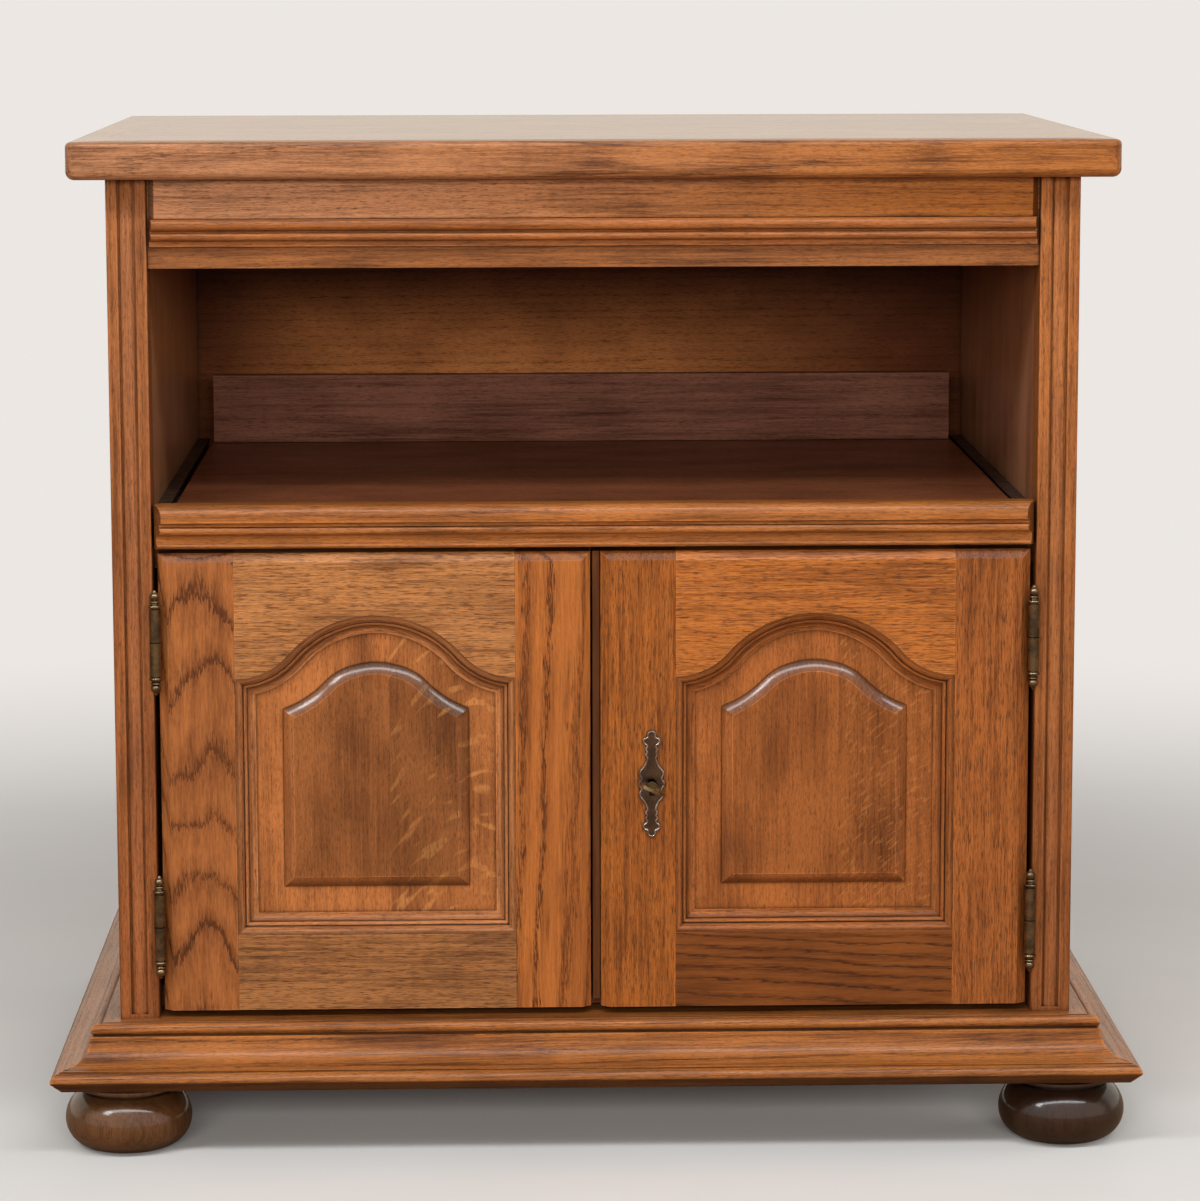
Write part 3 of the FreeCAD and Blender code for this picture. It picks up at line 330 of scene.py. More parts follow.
def oak(node, grain, heart, tilt=0.5, painted_light_tone=None, spans=None, front_only=False, **look):
    """Material of one oak board, named after its node. Its tone may turn into a second one, which paints
    light, shade and sheen on the boards that have one, over spans of X or Z in metres, from the first place
    of a span to the second, or else from the board's left end to its right end. With front_only, the board's
    back face has the even mixture of the two tones."""
    material, r, shader = new_material("oak_" + node)
    low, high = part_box(node)
    board = board_place(r, (low + high) / 2, grain, heart, tilt)
    if painted_light_tone:
        place = r.place()
        share = 0.0
        for axis, first, second in spans or [("X", low.x, high.x)]:
            share = r.math("MAXIMUM", share, r.fade(r.add("SeparateXYZ", (place,), axis), first, second))
        if front_only:
            front = r.fade(r.add("SeparateXYZ", (place,), "Y"), high.y, low.y)
            share = r.math("MULTIPLY_ADD", r.math("SUBTRACT", share, 0.5), front, 0.5)
        far = stained(painted_light_tone)
        look.update({name: r.blend(share, near, far[name]) for name, near in stained(look["tone"]).items()})
    oak_finish(r, shader, board, Fibre=FIBRE[grain], **look)
    return material


def dress(piece, material):
    """Gives a piece one material."""
    piece.data.materials.clear()
    piece.data.materials.append(material)


def soften(piece, width):
    """Merged corners, flat faces joined, and arrises rounded by the given width in millimetres."""
    weld = piece.modifiers.new("merge", "WELD")
    weld.merge_threshold = 0.00002
    flat = piece.modifiers.new("join_flat", "DECIMATE")
    flat.decimate_type = "DISSOLVE"
    flat.angle_limit = math.radians(0.4)
    bevel = piece.modifiers.new("arris", "BEVEL")
    bevel.width = width / MM
    bevel.segments = 2
    bevel.limit_method = "ANGLE"
    bevel.angle_limit = math.radians(28)
    bevel.use_clamp_overlap = True
    bevel.harden_normals = True


# Boards: fibre direction, place of the board's middle from the heart, and look
FLAT_SAWN = dict(Band=0.8, Scatter=0.1, Streak=1.2, Cloud=0.8)
RIFT_SAWN = dict(Band=0.3, Scatter=0.5, Figure=0.2, Short=0.65, Streak=1.9)
SIDE = dict(grain="Z", tilt=1.2, Ring=5.0, Figure=0.5, coat=0.9, gloss=0.3)
TOP_SIDE = dict(grain="Y", tilt=0.7, coat=1.0, End=0.75)
# Posts are darker towards the bottom: painted shade
POST = dict(grain="Z", coat=0.15, spans=[("Z", 0.1, 0.75)])
FOOT = dict(grain="Z", tilt=3.0, coat=0.85, gloss=0.12, End=0.7)
OUTSIDE = (1.1, 1.2, 1.3)
BACK_FOOT = (0.24, 0.30, 0.36)
# Back panel's inner face is darker towards both ends and the top: painted shade of the bay
BAY_PAINTED_SHADE = [("X", -0.05, 0.31), ("X", -0.18, -0.36), ("Z", 0.56, 0.70)]
BOARDS = {
    "top_panel": dict(grain="X", heart=(0, 40, 140), tilt=0.6, Ring=4.5, Wave=8.0, coat=1.0),
    # Paler, bluer tone fading towards the right end: painted sheen of the lacquer on the front edge
    "top_front_lipping": dict(grain="X", heart=(900, -95, 4), tilt=1.0, Wave=9.0, Figure=0.75, Streak=2.2,
                              tone=(1.12, 1.48, 2.15), painted_light_tone=(1.06, 1.09, 0.80), End=0.75),
    "top_left_lipping": dict(heart=(1900, -80, 30), **TOP_SIDE),
    "top_right_lipping": dict(heart=(2900, -80, 30), **TOP_SIDE),
    "left_post": dict(heart=(3900, -70, 90), tone=(0.85, 0.81, 0.76), painted_light_tone=(0.94, 1.0, 1.04), **POST),
    "right_post": dict(heart=(4900, -60, -80), tilt=0.6, tone=(0.78, 0.76, 0.70),
                       painted_light_tone=(1.14, 1.18, 1.03), **POST),
    # Side panels: the inner face gets a paler, bluer tone than the outer face, painted light and sheen inside
    # the bay
    "left_side_panel": dict(heart=(5900, 120, 30), tone=OUTSIDE, painted_light_tone=(1.68, 2.2, 2.95), **SIDE),
    "right_side_panel": dict(heart=(6900, -120, 20), tone=(1.48, 1.92, 2.85), painted_light_tone=OUTSIDE, **SIDE),
    "frieze_board": dict(grain="X", heart=(7900, -60, 70), tilt=0.3, tone=(0.80, 0.86, 0.82), Figure=0.5,
                         Streak=2.0),
    # Paler, bluer tone fading towards the right end: painted sheen of the lacquer on the fascia
    "frieze_fascia": dict(grain="X", heart=(8900, -40, 110), tilt=0.4, tone=(1.43, 1.97, 3.0),
                          painted_light_tone=(1.07, 1.03, 0.52), Streak=2.0),
    "frieze_moulding": dict(grain="X", heart=(9900, -60, 60), tilt=0.4, tone=(1.02, 1.02, 0.86)),
    "shelf_front_moulding": dict(grain="X", heart=(10900, -70, 40), tone=(1.14, 1.16, 0.88), Figure=0.5),
    "bottom_panel": dict(grain="X", heart=(11900, 30, 140)),
    "fixed_deck": dict(grain="X", heart=(12900, 30, 140)),
    "back_panel": dict(grain="X", heart=(13900, -140, 30), tone=(1.47, 1.62, 1.6),
                       painted_light_tone=(0.41, 0.37, 0.44), spans=BAY_PAINTED_SHADE, front_only=True, Ring=6.0, Streak=0.3,
                       Figure=0.3, coat=0.05, shine=0.1),
    "shelf_panel": dict(grain="X", heart=(14900, 40, 120), tilt=0.4, tone=(0.60, 0.58, 0.78), Streak=0.3,
                        Figure=0.5, coat=0.2, shine=0.1),
    "shelf_upstand": dict(grain="X", heart=(15900, -90, 40), tilt=0.4, tone=(0.53, 0.64, 1.3), coat=0.05,
                          shine=0.1),
    "base_back_rail": dict(grain="X", heart=(19900, -80, 40), tilt=0.8),
    "left_door_hinge_stile": dict(grain="Z", heart=(20900, -130, 0), tilt=-5.4, tone=(1.02, 1.03, 0.92),
                                  Ring=5.2, Wave=10.0, Feather=0.5, Figure=1.4, **FLAT_SAWN),
    "left_door_meeting_stile": dict(grain="Z", heart=(21900, -90, 50), tilt=-1.2, tone=(1.20, 1.14, 0.80),
                                    Ring=9.0, Feather=0.9, Figure=1.5, **FLAT_SAWN),
    "left_door_top_rail": dict(grain="X", heart=(22900, -40, 90), tilt=0.6, tone=(1.27, 1.57, 1.62),
                               **RIFT_SAWN),
    "left_door_bottom_rail": dict(grain="X", heart=(23900, -50, 80), tilt=0.4, tone=(0.95, 1.18, 1.26),
                                  **RIFT_SAWN),
    "right_door_hinge_stile": dict(grain="Z", heart=(26900, -80, 90), tilt=0.8, tone=(0.95, 0.87, 0.63),
                                   **RIFT_SAWN),
    "right_door_lock_stile": dict(grain="Z", heart=(27900, -70, -90), tilt=0.8, tone=(0.98, 0.88, 0.50),
                                  **RIFT_SAWN),
    "right_door_top_rail": dict(grain="X", heart=(28900, -40, 100), tilt=0.7, tone=(1.30, 1.24, 0.80),
                                **RIFT_SAWN),
    "right_door_bottom_rail": dict(grain="X", heart=(29900, -50, 70), tilt=-2.5, tone=(0.58, 0.53, 0.36),
                                   Ring=6.5, Wave=16.0, Figure=1.4, **FLAT_SAWN),
    # The front right foot is toned far darker than the front left one: painted shade
    "front_left_foot": dict(heart=(34900, -20, 18), tone=(0.36, 0.45, 0.50), **FOOT),
    "front_right_foot": dict(heart=(35900, -16, -20), tone=(0.085, 0.12, 0.20), **FOOT),
    "back_left_foot": dict(heart=(36900, 20, 18), tone=BACK_FOOT, **FOOT),
    "back_right_foot": dict(heart=(37900, 18, -20), tone=BACK_FOOT, **FOOT),
}

# The top's edges and the feet are round in the solids already
for node, look in BOARDS.items():
    dress(nodes[node], oak(node, **look))
    if not node.startswith("top_") and not node.endswith("_foot"):
        soften(nodes[node], DOOR_ARRIS if "door" in node else CARCASS_ARRIS)


def opening(inward):
    """Outline of the arched door opening moved inward by each of K distances, as arrays U and V of K rows.

    The rows run along the bottom, up the far upright, over the arch and down the near upright. A foot arc's
    radius grows and the crown arc's shrinks by the distance; an upright ends where its line meets the foot
    arc. The third array gives each step's run: 0 bottom, 1 far upright, 2 arch, 3 near upright.
    """
    w = np.asarray(inward, float)[:, None]
    near, low = STILE + w, LOW_RAIL + w
    far = 2 * DOOR_MIDDLE - near
    small, large = FOOT_ARC + w, CROWN_ARC - w
    spring = -np.arccos(np.clip(w / small, 0.0, 1.0))
    spring_v = FOOT_CENTRE[1] + small * np.sin(spring)
    counts = (STRAIGHT_STEPS, FOOT_STEPS, CROWN_STEPS)
    along, foot, crown = (np.linspace(0.0, 1.0, n, endpoint=False)[None, :] for n in counts)
    ones = np.ones_like(along)
    rising = spring + (ARCH_TURN - spring) * foot
    over = -ARCH_TURN + (math.pi + 2 * ARCH_TURN) * crown
    falling = ARCH_TURN + (spring - ARCH_TURN) * foot
    u = [near + (far - near) * along, far * ones,
         2 * DOOR_MIDDLE - FOOT_CENTRE[0] - small * np.cos(rising), CROWN_CENTRE[0] + large * np.cos(over),
         FOOT_CENTRE[0] + small * np.cos(falling), near * ones]
    v = [low * ones, low + (spring_v - low) * along,
         FOOT_CENTRE[1] + small * np.sin(rising), CROWN_CENTRE[1] + large * np.sin(over),
         FOOT_CENTRE[1] + small * np.sin(falling), spring_v + (low - spring_v) * along]
    arch_steps = 2 * FOOT_STEPS + CROWN_STEPS
    runs = np.repeat((0, 1, 2, 3), (STRAIGHT_STEPS, STRAIGHT_STEPS, arch_steps, STRAIGHT_STEPS))
    return np.concatenate(u, 1), np.concatenate(v, 1), runs


def door_points(u, v, y, side):
    """Places of the door frame in metres in the cabinet: the right door's hinge edge is on the right, the
    left door is its mirror image."""
    places = np.broadcast_arrays(side * (DOOR_EDGE - u), DOOR_FRONT + y, DOOR_BOTTOM + v)
    return np.stack(places, -1) / MM


def new_piece(name, points, faces, body, node=None):
    """Mesh object from points and faces, turned so that its faces point outwards, riding on a body. The faces
    point inwards where the volumes that they span with the origin add up to less than nothing."""
    corners = points[faces]
    fans = np.cross(corners[:, 1:-1], corners[:, 2:])
    inside_out = np.einsum("ij,ikj->", corners[:, 0], fans) < 0
    if inside_out:
        faces = faces[:, ::-1]
    mesh = bpy.data.meshes.new(name)
    mesh.from_pydata(points.tolist(), [], faces.tolist())
    mesh.polygons.foreach_set("use_smooth", np.ones(len(faces), bool))
    mesh.set_sharp_from_angle(angle=math.radians(24))
    piece = bpy.data.objects.new(name, mesh)
    scene.collection.objects.link(piece)
    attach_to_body(piece, body)
    if node:
        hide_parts(node)
    return piece, inside_out


def attach(piece, name, values, domain="POINT"):
    """Number or vector on every point or face corner of a piece, for its material."""
    values = np.asarray(values, np.float32)
    kind, field = ("FLOAT", "value") if values.ndim == 1 else ("FLOAT_VECTOR", "vector")
    made = piece.data.attributes.new(name, kind, domain)
    made.data.foreach_set(field, values.ravel())


def closed_grid(rows, steps):
    """Four-sided faces of a grid of points that is closed both ways."""
    k, i = np.meshgrid(np.arange(rows), np.arange(steps), indexing="ij")
    k2, i2 = (k + 1) % rows, (i + 1) % steps
    return np.stack([k * steps + i, k * steps + i2, k2 * steps + i2, k2 * steps + i], -1).reshape(-1, 4)


def capped_run(rings, poles):
    """Points and triangles of a solid: rings of points joined one to the next, and a fan from a pole over
    each end."""
    stations, count = rings.shape[:2]
    points = np.concatenate([rings.reshape(-1, 3), poles])
    j, k = np.meshgrid(np.arange(stations - 1), np.arange(count), indexing="ij")
    k2 = (k + 1) % count
    a, b, c, d = j * count + k, j * count + k2, (j + 1) * count + k2, (j + 1) * count + k
    sides = np.concatenate([np.stack([a, b, c], -1), np.stack([a, c, d], -1)]).reshape(-1, 3)
    k, k2, last = k[0], k2[0], (stations - 1) * count
    first_fan = np.stack([k2, k, np.full(count, stations * count)], -1)
    last_fan = np.stack([last + k, last + k2, np.full(count, stations * count + 1)], -1)
    return points, np.concatenate([sides, first_fan, last_fan])


def arc(start, through, end, steps):
    """Points on the circle through three places, without the first one."""
    (ax, ay), (bx, by), (cx, cy) = start, through, end
    d = 2 * (ax * (by - cy) + bx * (cy - ay) + cx * (ay - by))
    a2, b2, c2 = ax * ax + ay * ay, bx * bx + by * by, cx * cx + cy * cy
    ox = (a2 * (by - cy) + b2 * (cy - ay) + c2 * (ay - by)) / d
    oy = (a2 * (cx - bx) + b2 * (ax - cx) + c2 * (bx - ax)) / d
    t0, t1, t2 = (math.atan2(y - oy, x - ox) for x, y in (start, through, end))
    turn = (t2 - t0) % (2 * math.pi)
    if (t1 - t0) % (2 * math.pi) > turn:
        turn -= 2 * math.pi
    angle = t0 + turn * np.arange(1, steps + 1) / steps
    radius = math.hypot(ax - ox, ay - oy)
    return np.stack([ox + radius * np.cos(angle), oy + radius * np.sin(angle)], -1)


def moulding_profile():
    """Section of the panel moulding as distance inward and depth: an ovolo from the frame's face, a quirk, a
    bead, a quirk and a cove down to the panel. The last column scales the place's colour with painted shade,
    darkest in the quirks, darker on the cove and the ovolo's ends, and least on the bead."""
    m, d = MOULDING_WIDTH, PANEL_FRONT
    ovolo_start, ovolo_end = (0.032 * m, MOULDING_SET_BACK), (0.365 * m, 0.43 * d)
    bead_start, bead_end = (0.417 * m, 0.478 * d), (0.571 * m, 0.672 * d)
    cove_start, cove_end = (0.615 * m, 0.727 * d), (m, 0.953 * d)
    ovolo = arc(ovolo_start, (0.269 * m, 0.141 * d), ovolo_end, 9)[:-1]
    bead = arc(bead_start, (0.526 * m, 0.539 * d), bead_end, 7)[:-1]
    cove = arc(cove_start, (0.763 * m, 0.906 * d), cove_end, 8)[:-1]
    parts = [((0.0, d), 0.5), ((0.0, MOULDING_SET_BACK), 0.22), (ovolo_start, 0.5)]
    parts += zip(ovolo, (0.5, 0.75, 0.9, 0.95, 0.95, 0.95, 0.9, 0.85))
    parts += [(ovolo_end, 0.6), ((0.365 * m, 0.484 * d), 0.2), ((0.412 * m, 0.484 * d), 0.2)]
    parts += [(bead_start, 0.9)]
    parts += [(place, 1.0) for place in bead]
    parts += [(bead_end, 0.6), ((0.571 * m, 0.727 * d), 0.22), (cove_start, 0.55)]
    parts += [(place, 0.75) for place in cove]
    parts += [(cove_end, 0.85), ((m, d), 0.15)]
    return np.array([(*place, stain_and_painted_light) for place, stain_and_painted_light in parts])


# Millimetres between the places of a moulding's runs in the tree, so that their grain differs
RUN_APART = 700.0


def panel_moulding(side, name):
    """Moulding round a door panel: the section carried along the opening, each point of it on the outline
    moved inward by the point's own distance, so that the corners are mitred. Both ways round it is closed.

    Its lay attribute holds millimetres along and across each run, so that the grain follows the moulding.
    """
    section = moulding_profile()
    u, v, runs = opening(section[:, 0])
    rows, steps = u.shape
    points = door_points(u, v, section[:, 1:2], side).reshape(-1, 3)
    node = name + "_panel_moulding"
    piece, turned = new_piece(node + "_run", points, closed_grid(rows, steps), name, node)

    end_u, end_v = np.roll(u, -1, 1), np.roll(v, -1, 1)
    step = np.hypot(end_u - u, end_v - v)[rows // 2]
    travel = step.cumsum() - step[0]
    start = np.where(runs == 0, u, np.where(runs == 2, travel, v))
    end = np.where(runs == 0, end_u, np.where(runs == 2, travel + step, end_v))
    along = np.stack([start, end, end, start], -1) + RUN_APART * runs[:, None]
    length = np.hypot(*np.diff(section[:, :2], axis=0, append=section[:1, :2]).T)
    high = length.cumsum()
    low = high - length
    across = np.stack([low, low, high, high], -1)[:, None]
    lay = np.stack(np.broadcast_arrays(along, across, 0.0), -1).reshape(-1, 4, 3)
    attach(piece, "lay", lay[:, ::-1] if turned else lay, "CORNER")
    attach(piece, "stain_and_painted_light", np.repeat(section[:, 2], steps))
    return piece


def moulding_oak(name, heart, **look):
    """Oak whose fibres follow a moulding: the lay attribute, moved to the given place from the heart."""
    material, r, shader = new_material(name)
    lay = r.add("Attribute", out="Vector", attribute_name="lay")
    # Stain with painted shade and highlights, from the moulding's section
    stain_and_painted_light = r.add("Attribute", out="Fac", attribute_name="stain_and_painted_light")
    oak_finish(r, shader, r.vector("ADD", lay, heart), Fibre=(0, 0, 0), Soak=stain_and_painted_light, **look)
    return material


def base_section():
    """Section of the base moulding as distance out from the cabinet's body and drop from the base's top:
    ledge, quirk, bead, quirk, fillet, cove, nose and a chamfer underneath. The last column scales the place's
    colour: painted shade in the quirks and on the chamfer underneath, painted highlights on the bead and
    fillet."""
    inner, drop = -45, 48.0
    bead_start, bead_turn, bead_end = (13.9, 1.1), (21.5, 4.2), (20.2, 7.9)
    cove_start, cove_end = (22.5, 12.3), (42.6, 31.4)
    nose_start, nose_end = (43.9, 32.6), (51.5, 38.4)
    parts = [((inner, 0), 0.8), ((12.4, 0), 0.9), ((12.9, 1.5), 0.45), ((13.7, 1.5), 0.45)]
    parts += [(bead_start, 0.9)]
    parts += [(place, 1.1) for place in arc(bead_start, (18.0, 0.25), bead_turn, 10)]
    parts += [(place, 0.8) for place in arc(bead_turn, (21.3, 6.4), bead_end, 4)]
    parts += [((19.7, 8.4), 0.4), ((19.7, 9.3), 0.4), ((21.9, 9.6), 0.95), ((22.3, 10.0), 1.2)]
    parts += [((22.3, 11.8), 1.0), (cove_start, 0.75)]
    parts += [(place, 1.0) for place in arc(cove_start, (28.4, 25.9), cove_end, 14)]
    parts += [((43.9, 31.6), 1.05), (nose_start, 0.6)]
    parts += [(place, 0.95) for place in arc(nose_start, (49.6, 34.6), nose_end, 8)]
    parts += [((51.4, 39.4), 0.6), ((50.8, 40.2), 0.35), ((43.2, drop), 0.3), ((inner, drop), 0.4)]
    return np.array([(*place, stain_and_painted_light) for place, stain_and_painted_light in parts])


# Pole of the base's mitred end: how far out and down it is, how far across the grain, and its stain
POLE_OUT, POLE_DROP, POLE_ACROSS, POLE_SOAK = 5.0, 25.0, 50.0, 0.5
BASE_GRAIN_SLOPE = 0.015


def base_run(node, start, end, out_start, out_end):
    """One mitred length of base moulding: the section carried from one corner of the body to the next, each
    point moved out along the corner's own direction, and closed at both ends. Its lay attribute holds
    millimetres along and across the run, with the grain running out at a slight slope."""
    section = base_section()
    at = np.array([start, end], float)
    out = np.array([out_start, out_end], float)
    plan = at[:, None, :] + section[None, :, :1] * out[:, None, :]
    height = np.broadcast_to(BASE_TOP - section[:, 1], plan.shape[:2])
    poles = np.concatenate([at + POLE_OUT * out, np.full((2, 1), BASE_TOP - POLE_DROP)], 1)
    points, faces = capped_run(np.concatenate([plan, height[..., None]], -1), poles)
    piece, _ = new_piece(node + "_run", points / MM, faces, "carcass", node)
    along = points @ np.array([*np.sign(np.abs(at[1] - at[0])), 0.0])
    length = np.hypot(*np.diff(section[:, :2], axis=0, prepend=section[:1, :2]).T)
    across = np.concatenate([np.tile(length.cumsum(), 2), (POLE_ACROSS, POLE_ACROSS)])
    attach(piece, "lay", np.stack([along, across + BASE_GRAIN_SLOPE * along, np.zeros_like(along)], -1))
    attach(piece, "stain_and_painted_light", np.concatenate([np.tile(section[:, 2], 2), (POLE_SOAK, POLE_SOAK)]))
    return piece


def meeting_strip():
    """Strip in the gap between the doors: a plate behind the doors with a flat tongue, rounded at its
    corners, that stands forward between them. Two sections are carried upwards and closed at both ends, the
    tongue's front and the rest behind it, which is cut back to the plate where the lock's bolt passes."""
    low, high = box_mm("meeting_strip")
    bolt_low, bolt_high = box_mm("lock_bolt")
    left, right, plate = TONGUE_LEFT, TONGUE_RIGHT, low.y
    nose, split = DOOR_FRONT + TONGUE_SET_BACK, bolt_low.y - BOLT_CLEAR
    cut_low, cut_high = bolt_low.z - BOLT_ROOM, bolt_high.z + BOLT_ROOM

    def upright(x, y, levels, pole):
        """Section carried upwards through levels, with a pole at the place given in it at each end."""
        rings = np.stack(np.broadcast_arrays(x, y, np.array(levels)[:, None]), -1)
        return capped_run(rings, np.array([(*pole, low.z), (*pole, high.z)]))

    # The tongue's root stands a hair before the plate, so that it is cut back with the tongue
    root = plate - 0.01
    x, y = np.array([(high.x, plate), (high.x, high.y), (PLATE_LEFT, high.y), (PLATE_LEFT, plate),
                     (left, root), (left, split), (right, split), (right, root)]).T
    reach = np.array([1.0, 1.0, BOLT_SHARE, BOLT_SHARE, 1.0, 1.0])[:, None]
    y = np.where(y < plate, plate + (y - plate) * reach, y)
    levels = (low.z, cut_low, cut_low, cut_high, cut_high, high.z)
    rear_points, rear_faces = upright(x, y, levels, (1.0, plate))

    rounding, cut = TONGUE_ROUND, TONGUE_CUT
    x, y = np.concatenate([
        [(right, split), (left, split), (left, nose + rounding)],
        arc((left, nose + rounding), (left + cut, nose + cut), (left + rounding, nose), 4),
        [(right - rounding, nose)],
        arc((right - rounding, nose), (right - cut, nose + cut), (right, nose + rounding), 4)]).T
    front_points, front_faces = upright(x, y, (low.z, high.z), (0.5, nose + 2.0))
    points = np.concatenate([rear_points, front_points]) / MM
    faces = np.concatenate([rear_faces, front_faces + len(rear_points)])
    return new_piece("meeting_strip_tongue", points, faces, "right_door", "meeting_strip")[0]


# Sizes of the rings inside a panel's field, as shares of the field's outline
INNER_RINGS = np.linspace(0.88, 0.12, 7)[:, None]


def raised_panel(side, name, margin, field):
    """Arched raised panel: a closed shell of rings, each the opening's outline moved inward by some distance
    at some depth, from the middle of the back over the edge in the grooves, the margin, the quirk and the
    rounded bevel to the field. The rings inside the field shrink towards its middle. The field's arch is a
    little flatter than the opening's: lifted at its ends and lowered at its crown.

    An attribute of stain and painted light keeps the margin paler than the field and the arched part of the
    bevel dark; it paints shade into the quirk and next to the moulding, light on the straight parts of the
    bevel and a highlight on the field's arris. The gloss attribute is 1 on the bevel.
    """
    t = np.linspace(0.0, 1.0, 9)
    bulge = 4 * t * (1 - t)
    bevel_w = FIELD_EDGE + (FIELD_INNER - FIELD_EDGE) * t - 0.25 * bulge
    bevel_y = QUIRK_Y + (BEVEL_Y - QUIRK_Y) * t - 0.38 * bulge
    # Rings: inward distance, depth, stain with painted light and shade, and gloss
    table = [(FIELD_INNER, PANEL_BACK, margin, 0), (PANEL_EDGE, PANEL_BACK, margin, 0),
             (PANEL_EDGE, PANEL_FRONT, margin, 0), (MOULDING_WIDTH, PANEL_FRONT, 0.55 * margin, 0),
             (MOULDING_WIDTH + 2.5, PANEL_FRONT, 0.92 * margin, 0),
             (MOULDING_WIDTH + 6, PANEL_FRONT, margin, 0), (FIELD_EDGE - 1.4, PANEL_FRONT, margin, 0),
             (FIELD_EDGE - 0.5, PANEL_FRONT, 0.6, 0), (FIELD_EDGE, PANEL_FRONT, 0.45, 0)]
    table += zip(bevel_w, bevel_y, field * (1.05 + 0.2 * t), np.ones_like(t))
    table += [(FIELD_INNER + 0.1, FIELD_Y + 0.15, 1.5 * field, 1),
              (FIELD_INNER + 0.5, FIELD_Y, 1.5 * field, 0), (FIELD_INNER + 1.2, FIELD_Y, field, 0)]
    rings = np.array(table)
    u, v, runs = opening(rings[:, 0])
    low = LOW_RAIL + rings[:, :1]
    share = np.clip((v - low) / (FIELD_SPRING - low), 0.0, 1.0) * (rings[:, :1] > FIELD_EDGE - 2)
    end = np.clip((np.abs(u - DOOR_MIDDLE) - CROWN_FLAT) / LIFT_TURN, 0.0, 1.0)
    v = v + share * (CROWN_LIFT + (SPRING_LIFT - CROWN_LIFT) * end)

    def filled(rows, heart):
        """Rows with the rings inside the first one before them and those inside the last one after them."""
        back = heart + (rows[0] - heart) * INNER_RINGS[::-1]
        front = heart + (rows[-1] - heart) * INNER_RINGS
        return np.concatenate([back, rows, front])

    u, v = filled(u, DOOR_MIDDLE), filled(v, FIELD_HEART)
    rings = np.pad(rings, ((len(INNER_RINGS), len(INNER_RINGS)), (0, 0)), "edge")
    depth, stain_and_painted_light, gloss = rings[:, 1:2], rings[:, 2:3], rings[:, 3:]
    poles = door_points(DOOR_MIDDLE, FIELD_HEART, np.array([PANEL_BACK, FIELD_Y]), side)
    points, faces = capped_run(door_points(u, v, depth, side), poles)
    piece, _ = new_piece(name + "_raised_panel", points, faces, name, name + "_panel")
    stain_and_painted_light = stain_and_painted_light * np.where((runs == 2) & (gloss == 1), 0.6, 1.0)
    attach(piece, "stain_and_painted_light", np.concatenate([stain_and_painted_light.ravel(), (margin, field)]))
    attach(piece, "gloss", np.concatenate([np.repeat(gloss, u.shape[1]), (0, 0)]))
    return piece


def ray_flecks(r, start, slope, level, size, strength):
    """Where pale rays show on a panel: noise cells of the given length and width in millimetres, drawn out
    along curves that leave X = start in metres with a slope and are level some millimetres on. None show left
    of it. The start also chooses the slice of the noise."""
    place = r.place_mm()
    x = r.math("SUBTRACT", r.add("SeparateXYZ", (place,), "X"), start * MM)
    rise = r.math("MULTIPLY", x, r.math("MULTIPLY_ADD", x, -0.5 * slope / level, slope))
    z = r.math("SUBTRACT", r.add("SeparateXYZ", (place,), "Z"), rise)
    at = r.add("CombineXYZ", (x, z, start * 9 * MM))
    cells = r.noise(at, (1 / size[0], 1 / size[1], 1), 1.0, Distortion=0.35)
    patches = r.fade(r.noise(at, (0.02, 0.03, 1), 1.0), 0.3, 0.5)
    shown = r.math("MULTIPLY", r.fade(cells, 0.56, 0.66), patches)
    shown = r.math("MULTIPLY", shown, r.math("GREATER_THAN", x, 0.0))
    return r.math("MULTIPLY", shown, strength)


def panel_oak(node, heart, joint, second_board, flecks, **look):
    """Oak of a raised panel, glued up from two boards at X = joint in metres. Rays show in the right one,
    and its colour is multiplied by second_board."""
    material, r, shader = new_material("oak_" + node)
    low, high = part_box(node)
    board = board_place(r, (low + high) / 2, "Z", heart, 0.6)
    x = r.add("SeparateXYZ", (r.place(),))
    second = r.math("GREATER_THAN", x, joint)
    step = r.vector("MULTIPLY", r.add("CombineXYZ", (second, second, second)), (430, 36, -61))
    # The panel's stain with painted light and shade, times the second board's tone
    stain_and_painted_light = r.add("Attribute", out="Fac", attribute_name="stain_and_painted_light")
    stain_and_painted_light = r.math("MULTIPLY", stain_and_painted_light, r.math("MULTIPLY_ADD", second, second_board - 1.0, 1.0))
    gloss = r.add("Attribute", out="Fac", attribute_name="gloss")
    coat = r.math("MULTIPLY_ADD", gloss, 0.7, 0.3)
    oak_finish(r, shader, r.vector("ADD", board, step), Fibre=FIBRE["Z"], coat=coat, gloss=0.15, Soak=stain_and_painted_light,
               Fleck=ray_flecks(r, joint, **flecks), **look)
    return material


# Raised panels
PANEL_GRAIN = dict(Band=0.3, Scatter=0.3, Figure=0.12, Short=1.2, Streak=1.1, Cloud=1.9)
LEFT_FLECKS = dict(slope=1.3, level=75, size=(21, 10.0), strength=0.55)
RIGHT_FLECKS = dict(slope=1.0, level=150, size=(8, 3.6), strength=0.35)
left_panel = raised_panel(-1, "left_door", margin=1.25, field=0.80)
right_panel = raised_panel(1, "right_door", margin=1.05, field=0.88)
dress(left_panel, panel_oak("left_door_panel", heart=(24900, -40, 130), joint=-0.162, second_board=0.82,
                            flecks=LEFT_FLECKS, tone=(1.0, 1.03, 0.92), **PANEL_GRAIN))
dress(right_panel, panel_oak("right_door_panel", heart=(30900, -40, 120), joint=0.192, second_board=0.89,
                             flecks=RIGHT_FLECKS, tone=(1.0, 0.94, 0.72), **PANEL_GRAIN))

